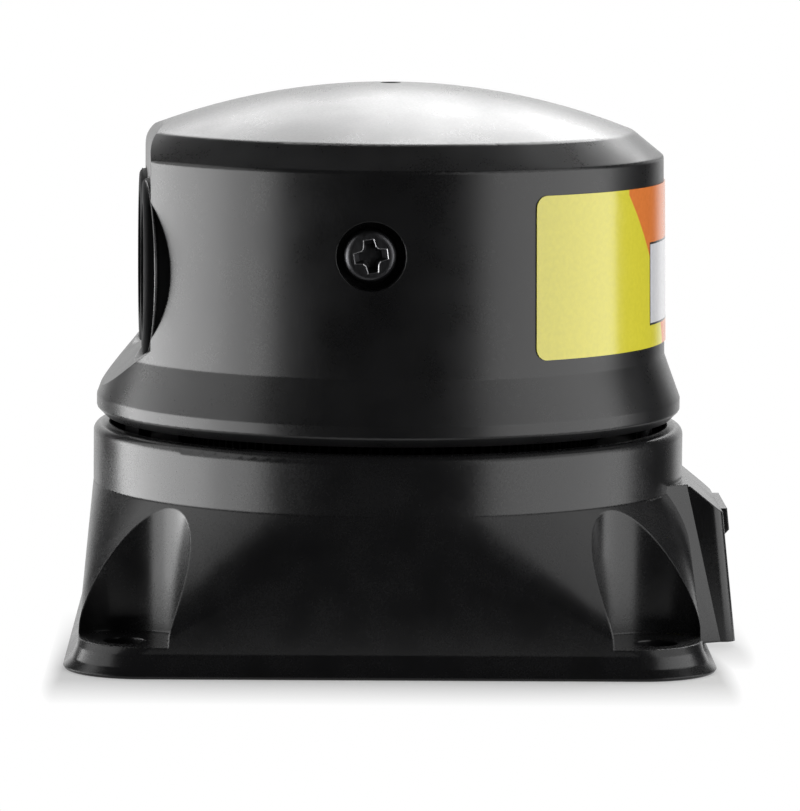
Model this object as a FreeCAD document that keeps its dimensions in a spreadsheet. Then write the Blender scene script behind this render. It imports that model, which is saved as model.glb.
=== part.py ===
import FreeCAD, Part
import math
import os
import re
import Sketcher

# Scanning lidar sensor: a round head with two lens barrels sweeps on a square foot.
# Origin: centre of the foot's underside on the sweep axis. +Z up, lenses look along -Y, sockets face +Y.
# All lengths are millimetres, all angles degrees.

SIZES = {
    # Foot, collar and deck of the base
    "foot_reach": 1.6,
    "foot_corner": 6.0,
    "foot_edge": 0.2,
    "foot_tuck": 0.15,
    "skirt_height": 1.7,
    "skirt_flare": 1.05,
    "collar_step": 0.25,
    "collar_height": 4.55,
    "collar_flat": 0.2,
    "rim_round": 0.7,
    "rim_wall": 1.3,
    "bowl_depth": 2.0,
    "deck_thickness": 1.4,
    "base_wall": 1.9,
    # Mounting holes and the upright pockets over them
    "hole_inset": 4.7,
    "hole_radius": 1.6,
    "pocket_radius": 4.9,
    "ledge_height": 2.2,
    # Socket block at the rear
    "block_wall": 1.4,
    "block_sink": 3.1,
    "block_proud": 2.3,
    "block_lean": 1.1,
    "block_facet": 2.6,
    "block_rise": 2.1,
    "block_lift": 0.4,
    "block_corner": 1.0,
    "hood_side": 0.9,
    "hood_cover": 0.65,
    "hood_lip": 0.3,
    "hood_proud": 0.5,
    # Base cover, its screws and the boards of the base
    "plate_thickness": 1.4,
    "plate_seat": 0.8,
    "plate_gap": 0.1,
    "board_lift": 1.6,
    "board_thickness": 1.6,
    "board_edge": 0.4,
    "post_inset": 2.8,
    "post_radius": 2.2,
    "screw_radius": 1.0,
    "screw_gap": 0.03,
    "screw_pass": 0.12,
    "screw_bite": 4.4,
    "screw_head": 1.9,
    "screw_sink": 0.05,
    "port_board_side": 0.9,
    "port_board_over": 1.0,
    "port_board_thickness": 1.0,
    "port_gap": 0.1,
    # Sockets
    "data_width": 7.6,
    "data_height": 2.4,
    "data_inset": 1.4,
    "data_wall": 0.3,
    "data_tongue": 0.6,
    "power_side": 1.125,
    "power_height": 4.0,
    "power_lift": 1.0,
    "power_inset": 0.9,
    "power_wall": 0.5,
    "socket_space": 1.0,
    "socket_back": 0.9,
    "pin_count": 8,
    "pin_pitch": 1.25,
    "pin_size": 0.4,
    "pin_length": 2.6,
    # Ball bearing on the sweep axis
    "bearing_bore": 6.0,
    "race_wall": 1.5,
    "race_space": 1.5,
    "bearing_width": 5.0,
    "ball_radius": 1.19,
    "ball_count": 9,
    "ball_gap": 0.03,
    "cage_thickness": 0.7,
    "cage_web": 0.35,
    "cage_gap": 0.06,
    "boss_wall": 1.7,
    "boss_lip": 0.7,
    "lip_reach": 1.1,
    # Turntable, hub and stop
    "sweep_gap": 0.6,
    "turntable_thickness": 1.5,
    "turntable_gap": 0.1,
    "hub_wall": 1.8,
    "shoulder_inset": 0.2,
    "clip_thickness": 0.8,
    "clip_inset": 0.1,
    "clip_groove": 0.5,
    "clip_gap_width": 3.0,
    "clip_land": 0.4,
    "magnet_height": 1.4,
    "magnet_wall": 2.6,
    "magnet_step": 1.0,
    "gear_width": 2.0,
    "gear_rim": 2.25,
    "fit_gap": 0.02,
    "pad_height": 0.8,
    "sweep_limit": 160.0,
    "stop_inset": 0.65,
    "stop_pin_radius": 0.6,
    "stop_pin_drop": 0.8,
    "stop_gap": 0.3,
    "lug_width": 1.0,
    "lug_height": 1.6,
    # Drive: ring gear on the turntable, pinion on the motor
    "ring_teeth": 130,
    "pinion_teeth": 12,
    "gear_backlash": 0.06,
    "pinion_clear": 0.3,
    "motor_radius": 3.0,
    "motor_room": 0.45,
    "motor_lift": 0.4,
    "motor_floor": 1.2,
    "motor_nose": 1.1,
    "motor_nose_height": 1.0,
    "shaft_radius": 0.5,
    "shaft_gap": 0.04,
    "motor_screw_offset": 2.0,
    "motor_screw_radius": 0.5,
    "motor_screw_bite": 1.5,
    "motor_screw_head": 0.85,
    "motor_screw_head_height": 0.6,
    # Head shell
    "shoulder_radius": 21.35,
    "wall_draft": 0.25,
    "wall_height": 15.5,
    "chamfer_run": 2.35,
    "chamfer_rise": 1.9,
    "dome_rise": 3.6,
    "dome_round": 1.2,
    "flare_reach": 1.25,
    "flare_rise": 3.4,
    "flange_rise": 1.6,
    "flange_chamfer": 0.7,
    "edge_round": 0.3,
    "shell_wall": 1.5,
    "seat_wall": 2.05,
    "front_cut": 2.45,
    "front_round": 2.2,
    "lip_rise": 1.0,
    "crown_radius": 0.8,
    "crown_depth": 0.5,
    # Side screws of the head
    "side_screw_y": -2.7,
    "side_screw_rise": 9.2,
    "side_sink": 1.65,
    "side_boss_depth": 1.9,
    "side_boss_wall": 0.6,
    "side_room": 0.7,
    "side_head": 1.9,
    "side_head_height": 1.3,
    "side_bite": 0.2,
    "recess_length": 2.7,
    "recess_width": 0.8,
    "recess_round": 0.3,
    "recess_depth": 0.8,
    # Label film on the rear of the head
    "label_rise": 1.2,
    "label_drop": 1.9,
    "label_span": 125.5,
    "label_thickness": 0.1,
    "label_corner": 0.95,
    # Optics
    "lens_rise": 6.95,
    "barrel_radius": 6.9,
    "barrel_overlap": 1.5,
    "barrel_wall": 1.9,
    "barrel_proud": 0.55,
    "barrel_gap": 0.2,
    "barrel_rear": 6.0,
    "barrel_back_wall": 1.8,
    "barrel_round": 0.45,
    "lens_gap": 0.03,
    "lens_seat_depth": 3.6,
    "lens_ledge": 0.6,
    "lens_edge": 1.6,
    "lens_bulge": 0.8,
    "ring_thickness": 0.9,
    "optic_screw_x": 9.0,
    "optic_foot_half": 2.2,
    "optic_foot_gap": 0.1,
    "optic_foot_height": 5.0,
    "optic_screw_bite": 3.4,
    "optic_screw_head_height": 1.4,
    "ear_radius": 2.6,
    "diode_radius": 2.7,
    "diode_gap": 0.08,
    "diode_length": 3.4,
    # Boards of the head
    "head_board_thickness": 1.0,
    "head_board_edge": 0.85,
    "head_board_front": 0.7,
    "optic_board_half": 5.1,
    "optic_board_half_height": 6.3,
    "optic_board_thickness": 1.2,
    "board_screw_offset": 4.5,
    "board_screw_radius": 0.8,
    "board_screw_head": 1.4,
    "board_screw_head_height": 0.9,
    "board_screw_bite": 1.6,
    # Sensor, plugs and leads on the axis
    "sensor_size": 3.0,
    "sensor_height": 1.1,
    "sensor_gap": 1.3,
    "plug_length": 5.0,
    "plug_width": 3.4,
    "plug_height": 1.5,
    "harness_radius": 1.5,
    "harness_gap": 0.05,
}

# Sizes and places that follow from the ones above
FORMULAS = {
    # Heights of the base, from the board up through the hub and the bearing to the rim
    "board_bottom": "plate_thickness + board_lift",
    "board_top": "board_bottom + board_thickness",
    "hub_end": "board_top + sensor_height + sensor_gap",
    "clip_bottom": "hub_end + magnet_height + clip_land",
    "bearing_bottom": "clip_bottom + clip_thickness",
    "ball_height": "bearing_bottom + bearing_width/2",
    "deck_top": "bearing_bottom + bearing_width",
    "deck_bottom": "deck_top - deck_thickness",
    "rim_top": "deck_top + bowl_depth",
    "collar_base": "rim_top - collar_height",
    # Heights of the head
    "flange_bottom": "rim_top + sweep_gap",
    "gear_bottom": "flange_bottom - gear_width",
    "stop_pin_top": "flange_bottom - stop_pin_drop",
    "turntable_top": "flange_bottom + turntable_thickness",
    "head_board_bottom": "turntable_top + pad_height",
    "head_board_top": "head_board_bottom + head_board_thickness",
    "flange_top": "flange_bottom + flange_rise",
    "flare_top": "flange_top + flare_rise",
    "lip_top": "flare_top + lip_rise",
    "shoulder_z": "flare_top + wall_height",
    "dome_base": "shoulder_z + chamfer_rise",
    "head_top": "dome_base + dome_rise",
    "lens_height": "flare_top + lens_rise",
    "side_screw_z": "flare_top + side_screw_rise",
    "label_bottom": "flare_top + label_rise",
    "label_top": "shoulder_z - label_drop",
    "optic_board_bottom": "lens_height - optic_board_half_height",
    "optic_board_top": "lens_height + optic_board_half_height",
    # Radii of the head
    "wall_foot_radius": "shoulder_radius + wall_draft",
    "wall_slope": "-wall_draft/wall_height",
    "flange_radius": "wall_foot_radius + flare_reach",
    "dome_edge": "shoulder_radius - chamfer_run",
    "front_flat": "shoulder_radius - front_cut",
    "shell_cavity": "shoulder_radius - shell_wall",
    "seat_radius": "flange_radius - seat_wall",
    "stop_radius": "seat_radius - stop_inset",
    # Plan of the base
    "collar_radius": "flange_radius + collar_step",
    "cavity_radius": "collar_radius - base_wall",
    "plate_seat_radius": "cavity_radius + plate_seat",
    "post_offset": "(cavity_radius - post_inset)*sqrt(0.5)",
    "foot_half": "collar_radius + foot_reach",
    "hole_offset": "foot_half - hole_inset",
    # Sockets and the block round them
    "power_width": "pin_pitch*(pin_count - 1) + 2*power_side",
    "power_centre": "plate_thickness + power_lift + power_height/2",
    "data_centre": "power_centre + power_height/2 + socket_space + data_height/2",
    "port_board_width": "power_width + 2*port_board_side",
    "port_board_top": "data_centre + data_height/2 + port_board_over",
    "block_root": "port_board_width + 2*block_wall",
    "block_start": "collar_radius - block_sink",
    "block_reach": "foot_half + block_proud",
    "block_shoulder_reach": "block_reach - block_lean",
    "block_peak_reach": "block_shoulder_reach - block_facet",
    "block_shoulder": "data_centre + data_height/2 + hood_cover",
    "block_peak": "block_shoulder + block_rise",
    "hood_width": "data_width + 2*hood_side",
    "hood_bottom": "data_centre - hood_lip",
    "port_board_rear": "block_start + port_board_thickness",
    "data_front": "block_reach - data_inset",
    "power_front": "block_reach - power_inset",
    "board_flat": "block_start - board_edge",
    # Bearing and hub
    "bearing_inner_rim": "bearing_bore + race_wall",
    "bearing_outer_rim": "bearing_inner_rim + race_space",
    "bearing_outside": "bearing_outer_rim + race_wall",
    "ball_pitch": "bearing_inner_rim + race_space/2",
    "cage_height": "2*(ball_radius + cage_gap + cage_web)",
    "hub_bore": "bearing_bore - hub_wall",
    "hub_shoulder": "bearing_inner_rim - shoulder_inset",
    "clip_radius": "bearing_inner_rim - clip_inset",
    # Gears and motor
    "gear_centres": "cavity_radius - motor_radius - motor_room",
    "gear_module": "2*gear_centres/(ring_teeth + pinion_teeth)",
    "gear_seat": "gear_module*ring_teeth/2 - gear_rim",
    "motor_x": "-gear_centres",
    "motor_bottom": "board_top + motor_lift",
    "shaft_end": "motor_bottom + motor_floor",
    # Side screws and optics
    "side_seat": "shoulder_radius - side_sink",
    "side_boss_face": "side_seat - side_boss_depth",
    "side_bore": "side_head + side_room",
    "side_boss": "side_bore + side_boss_wall",
    "lens_spacing": "2*(barrel_radius - barrel_overlap)",
    "side_depth": "side_boss_face - lens_spacing/2 - barrel_radius + side_bite",
    "barrel_front": "front_flat + barrel_proud",
    "lens_radius": "barrel_radius - barrel_wall - lens_gap",
    "lens_bore": "lens_radius - lens_ledge",
    "lens_shoulder": "barrel_front - lens_seat_depth",
    "optic_screw_y": "barrel_rear - optic_foot_half - optic_foot_gap",
    "optic_board_inner": "lens_spacing/2 - optic_board_half",
    "optic_board_outer": "lens_spacing/2 + optic_board_half",
}

# Shape factors of the foot's concave flare
FLARE_MID_HEIGHT = 0.4
FLARE_MID_SHARE = 0.62
PRESSURE_ANGLE = math.radians(20)
ADDENDUM = 0.85
DEDENDUM = 1.25
# Where the shell screws stop, in degrees
SCREW_TURN = 8.5
CUT_MARGIN = "1"

CELLS = {name: str(value) for name, value in SIZES.items()}
CELLS.update({name: f"={formula}" for name, formula in FORMULAS.items()})

doc = FreeCAD.newDocument("lidar_sensor")
sheet = doc.addObject("Spreadsheet::Sheet", "sizes")
for row, cell_name in enumerate(CELLS, start=1):
    sheet.set(f"A{row}", cell_name)
    sheet.setAlias(f"B{row}", cell_name)
for row, content in enumerate(CELLS.values(), start=1):
    sheet.set(f"B{row}", content)
doc.recompute()

ORIGIN = FreeCAD.Vector(0, 0, 0)
UP = FreeCAD.Vector(0, 0, 1)
TURNS = {
    "x": FreeCAD.Rotation(FreeCAD.Vector(0, 1, 0), 90),
    "y": FreeCAD.Rotation(FreeCAD.Vector(1, 0, 0), -90),
    "z": FreeCAD.Rotation(),
    "front": FreeCAD.Rotation(FreeCAD.Vector(1, 0, 0), 90),
}
TURNS["screw"] = TURNS["x"] * FreeCAD.Rotation(UP, SCREW_TURN)
CORNERS = [(1, 1), (-1, 1), (-1, -1), (1, -1)]

# Sub-parts of the turning head
HEAD = {
    "head_shell", "shell_screws", "head_label", "turntable", "ring_gear", "bearing_inner_race", "retaining_clip",
    "encoder_magnet", "head_board", "head_plug", "optic_block", "transmit_lens", "receive_lens",
    "transmit_lens_ring", "receive_lens_ring", "laser_board", "detector_board", "laser_diode", "photo_detector",
    "board_screws", "optic_screws",
}

nodes = {}


def ref(text):
    """Formula with each size name pointed at its cell."""
    return re.sub(r"[a-z_]+", lambda word: f"sizes.{word[0]}" if word[0] in CELLS else word[0], text)


def number(text):
    """Value of a formula."""
    return float(sheet.evalExpression(ref(text)))


def place(thing, x="0", y="0", z="0", turn="z"):
    """Turn a piece and tie its position to formulas."""
    thing.Placement = FreeCAD.Placement(ORIGIN, TURNS[turn])
    for axis, text in zip("xyz", (x, y, z)):
        thing.setExpression(f"Placement.Base.{axis}", ref(text))


def keep(name, thing):
    """Name a finished sub-part."""
    thing.Label = name
    nodes[name] = thing


def box(name, low, high):
    block = doc.addObject("Part::Box", name)
    for side, start, end in zip(("Length", "Width", "Height"), low, high):
        block.setExpression(side, ref(f"({end}) - ({start})"))
    place(block, *low)
    return block


def rod(name, radius, start, end, at=("0", "0"), axis="z"):
    """Cylinder along an axis from start to end, at the two other coordinates."""
    bar = doc.addObject("Part::Cylinder", name)
    bar.setExpression("Radius", ref(radius))
    bar.setExpression("Height", ref(f"({end}) - ({start})"))
    first, second = at
    spots = {"x": (start, first, second), "y": (first, start, second), "z": (first, second, start)}
    place(bar, *spots[axis], turn=axis)
    return bar


def fuse(name, *pieces):
    joined = doc.addObject("Part::MultiFuse", name)
    joined.Shapes = list(pieces)
    return joined


def cut(name, base, *tools):
    removed = doc.addObject("Part::Cut", name)
    removed.Base = base
    removed.Tool = tools[0] if len(tools) == 1 else fuse(f"{name}_tools", *tools)
    return removed


def group(name, pieces):
    """Separate like pieces that share one node."""
    together = doc.addObject("Part::Compound", name)
    together.Links = list(pieces)
    keep(name, together)


def mirrored(name, piece):
    """Copy of a piece on the other side of the YZ plane."""
    other = doc.addObject("Part::Mirroring", name)
    other.Source = piece
    other.Normal = FreeCAD.Vector(1, 0, 0)
    return other


def new_body(name, kept=True):
    body = doc.addObject("PartDesign::Body", name)
    if kept:
        keep(name, body)
    return body


def datum(body, role):
    """One of the body's own origin planes or axes."""
    return next(item for item in body.Origin.OriginFeatures if item.Role == role)


def drawing(body, name, role="XY_Plane", lift="0"):
    """Sketch on one of the body's own origin planes, lifted along its normal."""
    sketch = body.newObject("Sketcher::SketchObject", f"{body.Name}_{name}")
    sketch.AttachmentSupport = [(datum(body, role), "")]
    sketch.MapMode = "FlatFace"
    sketch.setExpression("AttachmentOffset.Base.z", ref(lift))
    return sketch


def measure(sketch, text, kind, *where):
    """Dimension tied to a formula."""
    index = sketch.addConstraint(Sketcher.Constraint(kind, *where, number(text)))
    sketch.setExpression(f"Constraints[{index}]", ref(text))


def pin(sketch, edge, end, x, y):
    """Hold one point of an edge at two formulas."""
    measure(sketch, x, "DistanceX", -1, 1, edge, end)
    measure(sketch, y, "DistanceY", -1, 1, edge, end)


def dome_arc(first, second):
    """Arc between two points, centred on the upright axis; its points run anticlockwise."""
    centre = (first.x**2 + first.y**2 - second.x**2 - second.y**2) / (2 * (first.y - second.y))
    angles = [math.atan2(spot.y - centre, spot.x) for spot in (first, second)]
    circle = Part.Circle(FreeCAD.Vector(0, centre, 0), UP, math.hypot(first.x, first.y - centre))
    return Part.ArcOfCircle(circle, min(angles), max(angles)), angles[0] > angles[1]


def corner_round(before, corner, after, radius):
    """Ends and centre of a round between two straight edges."""
    back = (before - corner).normalize()
    ahead = (after - corner).normalize()
    half = back.getAngle(ahead) / 2
    reach = radius / math.tan(half)
    centre = corner + (back + ahead).normalize() * (radius / math.sin(half))
    return corner + back * reach, corner + ahead * reach, centre


def outline(sketch, corners, domes=(), rounds=None):
    """Closed outline through the corners.

    The edges listed in domes are arcs about the upright axis, the corners named in rounds are rounded.
    """
    rounds = rounds or {}
    count = len(corners)
    spots = [FreeCAD.Vector(number(x), number(y), 0) for x, y in corners]
    starts = list(spots)
    stops = spots[1:] + spots[:1]
    arcs = {}
    for corner, radius in rounds.items():
        neighbours = spots[corner - 1], spots[corner], spots[(corner + 1) % count]
        near, far, centre = corner_round(*neighbours, number(radius))
        stops[corner - 1], starts[corner] = near, far
        arcs[corner] = (near, far, centre)
    ends = []
    for edge in range(count):
        if edge in domes:
            arc, clockwise = dome_arc(starts[edge], stops[edge])
            sketch.addGeometry(arc)
            sketch.addConstraint(Sketcher.Constraint("PointOnObject", edge, 3, -2))
            ends.append((2, 1) if clockwise else (1, 2))
        else:
            sketch.addGeometry(Part.LineSegment(starts[edge], stops[edge]))
            ends.append((1, 2))
    for edge, (x, y) in enumerate(corners):
        before = (edge - 1) % count
        meeting = (before, ends[before][1]), (edge, ends[edge][0])
        if edge in rounds:
            round_corner(sketch, meeting, arcs[edge], spots[edge], rounds[edge], (x, y))
        else:
            sketch.addConstraint(Sketcher.Constraint("Coincident", *meeting[0], *meeting[1]))
            pin(sketch, *meeting[1], x, y)


def round_corner(sketch, meeting, arc_points, spot, radius, place_text):
    """Tangent arc between two edges whose sharp corner stays pinned."""
    near, far, centre = arc_points
    left_turn = (spot - near).cross(far - spot).z > 0
    first, last = (near, far) if left_turn else (far, near)
    start = math.atan2(first.y - centre.y, first.x - centre.x)
    sweep = (math.atan2(last.y - centre.y, last.x - centre.x) - start) % (2 * math.pi)
    ring = Part.Circle(centre, UP, number(radius))
    arc = sketch.addGeometry(Part.ArcOfCircle(ring, start, start + sweep))
    arc_ends = (1, 2) if left_turn else (2, 1)
    sharp = sketch.addGeometry(Part.Point(spot), True)
    for (edge, end), arc_end in zip(meeting, arc_ends):
        sketch.addConstraint(Sketcher.Constraint("Tangent", edge, end, arc, arc_end))
        sketch.addConstraint(Sketcher.Constraint("PointOnObject", sharp, 1, edge))
    pin(sketch, sharp, 1, *place_text)
    measure(sketch, radius, "Radius", arc)


def rectangle(sketch, low, high):
    outline(sketch, [low, (high[0], low[1]), high, (low[0], high[1])])


def circle(sketch, radius, x="0", y="0"):
    spot = FreeCAD.Vector(number(x), number(y), 0)
    edge = sketch.addGeometry(Part.Circle(spot, UP, number(radius)))
    pin(sketch, edge, 3, x, y)
    measure(sketch, radius, "Radius", edge)


def four_circles(sketch, radius, x, y):
    for side, depth in CORNERS:
        circle(sketch, radius, f"{side}*({x})", f"{depth}*({y})")


def rounded_square(sketch, half, corner):
    """Square with round corners: a side and a corner arc in turn, anticlockwise from the right side."""
    flat = number(half) - number(corner)
    for quarter in range(4):
        turn = FreeCAD.Rotation(UP, 90 * quarter)
        low = turn.multVec(FreeCAD.Vector(number(half), -flat, 0))
        high = turn.multVec(FreeCAD.Vector(number(half), flat, 0))
        middle = turn.multVec(FreeCAD.Vector(flat, flat, 0))
        start = math.radians(90 * quarter)
        sketch.addGeometry(Part.LineSegment(low, high))
        sketch.addGeometry(Part.ArcOfCircle(Part.Circle(middle, UP, number(corner)), start, start + math.pi / 2))
    for edge in range(8):
        sketch.addConstraint(Sketcher.Constraint("Tangent", edge, 2, (edge + 1) % 8, 1))
    for edge, (kind, way, sign) in zip((0, 2, 4, 6), (("Vertical", "X", 1), ("Horizontal", "Y", 1),
                                                      ("Vertical", "X", -1), ("Horizontal", "Y", -1))):
        sketch.addConstraint(Sketcher.Constraint(kind, edge))
        measure(sketch, f"{sign}*({half})", f"Distance{way}", -1, 1, edge, 1)
    for edge in (3, 5, 7):
        sketch.addConstraint(Sketcher.Constraint("Equal", 1, edge))
    measure(sketch, corner, "Radius", 1)


def flatted_circle(sketch, radius, flat, side):
    """Circle cut off by a straight edge, in front (side -1) or at the rear (side 1)."""
    half = math.sqrt(number(radius)**2 - number(flat)**2)
    level = side * number(flat)
    first = FreeCAD.Vector(-side * half, level, 0)
    last = FreeCAD.Vector(side * half, level, 0)
    start = math.atan2(first.y, first.x)
    sweep = (math.atan2(last.y, last.x) - start) % (2 * math.pi)
    sketch.addGeometry(Part.ArcOfCircle(Part.Circle(ORIGIN, UP, number(radius)), start, start + sweep))
    sketch.addGeometry(Part.LineSegment(last, first))
    sketch.addConstraint(Sketcher.Constraint("Coincident", 0, 3, -1, 1))
    sketch.addConstraint(Sketcher.Constraint("Coincident", 0, 2, 1, 1))
    sketch.addConstraint(Sketcher.Constraint("Coincident", 1, 2, 0, 1))
    sketch.addConstraint(Sketcher.Constraint("Horizontal", 1))
    measure(sketch, radius, "Radius", 0)
    measure(sketch, f"{side}*({flat})", "DistanceY", -1, 1, 1, 1)


def finish_step(body, step, grows):
    """Recompute and make sure that the step really added or removed material."""
    before = body.Shape.Volume if body.Shape.Solids else 0
    doc.recompute()
    if (body.Shape.Volume - before) * (1 if grows else -1) <= 0:
        raise RuntimeError(f"{step.Name} changed nothing")
    return step


def pad(body, name, sketch, length, flip=False, both=False):
    return extrude(body, "Pad", name, sketch, length, flip, both)


def pocket(body, name, sketch, length, flip=False, both=False):
    return extrude(body, "Pocket", name, sketch, length, flip, both)


def extrude(body, kind, name, sketch, length, flip, both):
    step = body.newObject(f"PartDesign::{kind}", f"{body.Name}_{name}")
    step.Profile = sketch
    step.setExpression("Length", ref(length))
    step.Reversed = flip
    step.SideType = "Symmetric" if both else "One side"
    return finish_step(body, step, kind == "Pad")


def revolve(body, name, sketch, kind="Revolution", angle="360"):
    step = body.newObject(f"PartDesign::{kind}", f"{body.Name}_{name}")
    step.Profile = sketch
    step.ReferenceAxis = (sketch, ["V_Axis"])
    step.Midplane = True
    step.setExpression("Angle", ref(angle))
    return finish_step(body, step, kind == "Revolution")


def loft(body, name, sketches):
    step = body.newObject("PartDesign::AdditiveLoft", f"{body.Name}_{name}")
    step.Profile = sketches[0]
    step.Sections = sketches[1:]
    step.Ruled = True
    return finish_step(body, step, True)


def round_edges(body, name, radius, wanted):
    """Fillet on the edges that the test picks."""
    base = body.Tip
    picked = [f"Edge{index}" for index, edge in enumerate(base.Shape.Edges, start=1) if wanted(edge)]
    if not picked:
        raise RuntimeError(f"{name} finds no edge")
    step = body.newObject("PartDesign::Fillet", f"{body.Name}_{name}")
    step.Base = (base, picked)
    step.setExpression("Radius", ref(radius))
    doc.recompute()


def ring_edge(radius, height):
    """Test for a round edge about the sweep axis."""
    def wanted(edge):
        if edge.Degenerated or not isinstance(edge.Curve, Part.Circle):
            return False
        level = abs(edge.Curve.Center.z - number(height)) < 1e-4
        return level and abs(edge.Curve.Radius - number(radius)) < 1e-4
    return wanted


def repeat(body, name, originals, count):
    """Turn features about the sweep axis in equal steps."""
    step = body.newObject("PartDesign::PolarPattern", f"{body.Name}_{name}")
    step.Originals = originals
    step.Axis = (datum(body, "Z_Axis"), [""])
    step.Angle = 360
    step.Occurrences = count
    body.Tip = step
    doc.recompute()


def both_sides(body, name, originals=()):
    """Mirror features, or all there is so far, across the YZ plane."""
    step = body.newObject("PartDesign::Mirrored", f"{body.Name}_{name}")
    step.Originals = list(originals)
    step.TransformMode = "Features" if originals else "Whole shape"
    step.MirrorPlane = (datum(body, "YZ_Plane"), [""])
    body.Tip = step
    doc.recompute()


def turned(name, corners, domes=(), kept=True):
    """Body turned about the upright axis from one profile of radius and height."""
    body = new_body(name, kept)
    profile = drawing(body, "profile", "XZ_Plane")
    outline(profile, corners, domes)
    revolve(body, "turn", profile)
    return body


def base_outer_form(body):
    """Foot, flare and the loft from rounded square to round collar."""
    sections = [
        ("foot_half - foot_tuck", "foot_corner - foot_tuck", "0"),
        ("foot_half", "foot_corner", "foot_edge"),
        (f"foot_half - skirt_flare*{FLARE_MID_SHARE}", f"foot_corner - skirt_flare*{FLARE_MID_SHARE}",
         f"foot_edge + (skirt_height - foot_edge)*{FLARE_MID_HEIGHT}"),
        ("foot_half - skirt_flare", "foot_corner - skirt_flare", "skirt_height"),
        ("collar_radius", "collar_radius - collar_flat", "collar_base"),
    ]
    sketches = []
    for index, (half, corner, height) in enumerate(sections):
        section = drawing(body, f"section_{index}", lift=height)
        rounded_square(section, half, corner)
        sketches.append(section)
    loft(body, "flare_loft", sketches)
    collar = drawing(body, "collar", lift="collar_base")
    circle(collar, "collar_radius")
    pad(body, "collar_pad", collar, "rim_top - collar_base")
    round_edges(body, "rim_round", "rim_round", ring_edge("collar_radius", "rim_top"))


def block_face(height):
    """Reach of the block's sloping rear face at a height."""
    slope = "((block_shoulder_reach - block_reach)/(block_shoulder - block_lift))"
    return f"(block_reach + {slope}*({height} - block_lift))"


def base_socket_block(body):
    """Faceted block that carries the sockets, with the hood over the upper one."""
    side = drawing(body, "block_side", "YZ_Plane")
    outline(side, [("block_start", "block_lift"), ("block_reach", "block_lift"),
                   ("block_shoulder_reach", "block_shoulder"), ("block_peak_reach", "block_peak"),
                   ("block_start", "block_peak")])
    pad(body, "block_pad", side, "block_root", both=True)

    def rear_corner(edge):
        middle = edge.CenterOfMass
        on_side = abs(abs(middle.x) - number("block_root/2")) < 1e-4
        tall = edge.BoundBox.ZLength > number("block_shoulder - block_lift") - 1e-3
        return on_side and tall and middle.y > number("collar_radius")

    round_edges(body, "block_round", "block_corner", rear_corner)
    hood = drawing(body, "hood_side", "YZ_Plane")
    outline(hood, [("block_start", "hood_bottom"), (block_face("hood_bottom"), "hood_bottom"),
                   (block_face("hood_bottom + hood_proud") + " + hood_proud", "hood_bottom + hood_proud"),
                   ("block_shoulder_reach + hood_proud", "block_shoulder"), ("block_start", "block_shoulder")])
    pad(body, "hood_pad", hood, "hood_width", both=True)


def base_inside(body):
    """Cavity, plate seat, bowl, bearing boss and posts."""
    cavity = drawing(body, "cavity")
    circle(cavity, "cavity_radius")
    pocket(body, "cavity_pocket", cavity, "deck_bottom", flip=True)
    seat = drawing(body, "plate_seat")
    circle(seat, "plate_seat_radius")
    pocket(body, "plate_seat_pocket", seat, "plate_thickness", flip=True)
    bowl = drawing(body, "bowl", lift="rim_top")
    circle(bowl, "collar_radius - rim_wall")
    pocket(body, "bowl_pocket", bowl, "rim_top - deck_top")
    boss = drawing(body, "boss", lift="bearing_bottom - boss_lip")
    circle(boss, "bearing_outside + boss_wall")
    pad(body, "boss_pad", boss, "deck_bottom - bearing_bottom + boss_lip")
    posts = drawing(body, "posts", lift="board_top")
    four_circles(posts, "post_radius", "post_offset", "post_offset")
    pad(body, "post_pads", posts, "deck_bottom - board_top")
    bearing = drawing(body, "bearing_seat", lift="deck_top")
    circle(bearing, "bearing_outside + fit_gap")
    pocket(body, "bearing_pocket", bearing, "bearing_width")
    lip = drawing(body, "lip", lift="deck_top")
    circle(lip, "bearing_outside - lip_reach")
    pocket(body, "lip_pocket", lip, "bearing_width + boss_lip")
    cores = drawing(body, "cores", lift="board_top")
    four_circles(cores, "screw_radius + screw_gap", "post_offset", "post_offset")
    pocket(body, "core_pockets", cores, "screw_bite", flip=True)


def base_drive_holes(body):
    """Motor nose, motor screws and stop pin in the deck."""
    nose = drawing(body, "nose", lift="deck_top")
    circle(nose, "motor_nose + fit_gap", "motor_x")
    pocket(body, "nose_pocket", nose, "deck_thickness")
    heads = drawing(body, "motor_heads", lift="deck_top")
    shanks = drawing(body, "motor_shanks", lift="deck_top")
    for side in (1, -1):
        circle(heads, "motor_screw_head + screw_pass", "motor_x", f"{side}*motor_screw_offset")
        circle(shanks, "motor_screw_radius + screw_gap", "motor_x", f"{side}*motor_screw_offset")
    pocket(body, "motor_head_pockets", heads, "motor_screw_head_height")
    pocket(body, "motor_shank_pockets", shanks, "deck_thickness")
    stop = drawing(body, "stop", lift="deck_top")
    circle(stop, "stop_pin_radius + fit_gap", "0", "stop_radius")
    pocket(body, "stop_pocket", stop, "deck_thickness")


def base_corner_holes(body):
    """Upright screw pockets over the four mounting holes."""
    recess = drawing(body, "corner", lift="ledge_height")
    circle(recess, "pocket_radius", "hole_offset", "hole_offset")
    corner = pocket(body, "corner_pocket", recess, "rim_top - ledge_height", flip=True)
    drill = drawing(body, "drill")
    circle(drill, "hole_radius", "hole_offset", "hole_offset")
    hole = pocket(body, "corner_hole", drill, "ledge_height", flip=True)
    repeat(body, "four_corners", [corner, hole], len(CORNERS))


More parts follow.
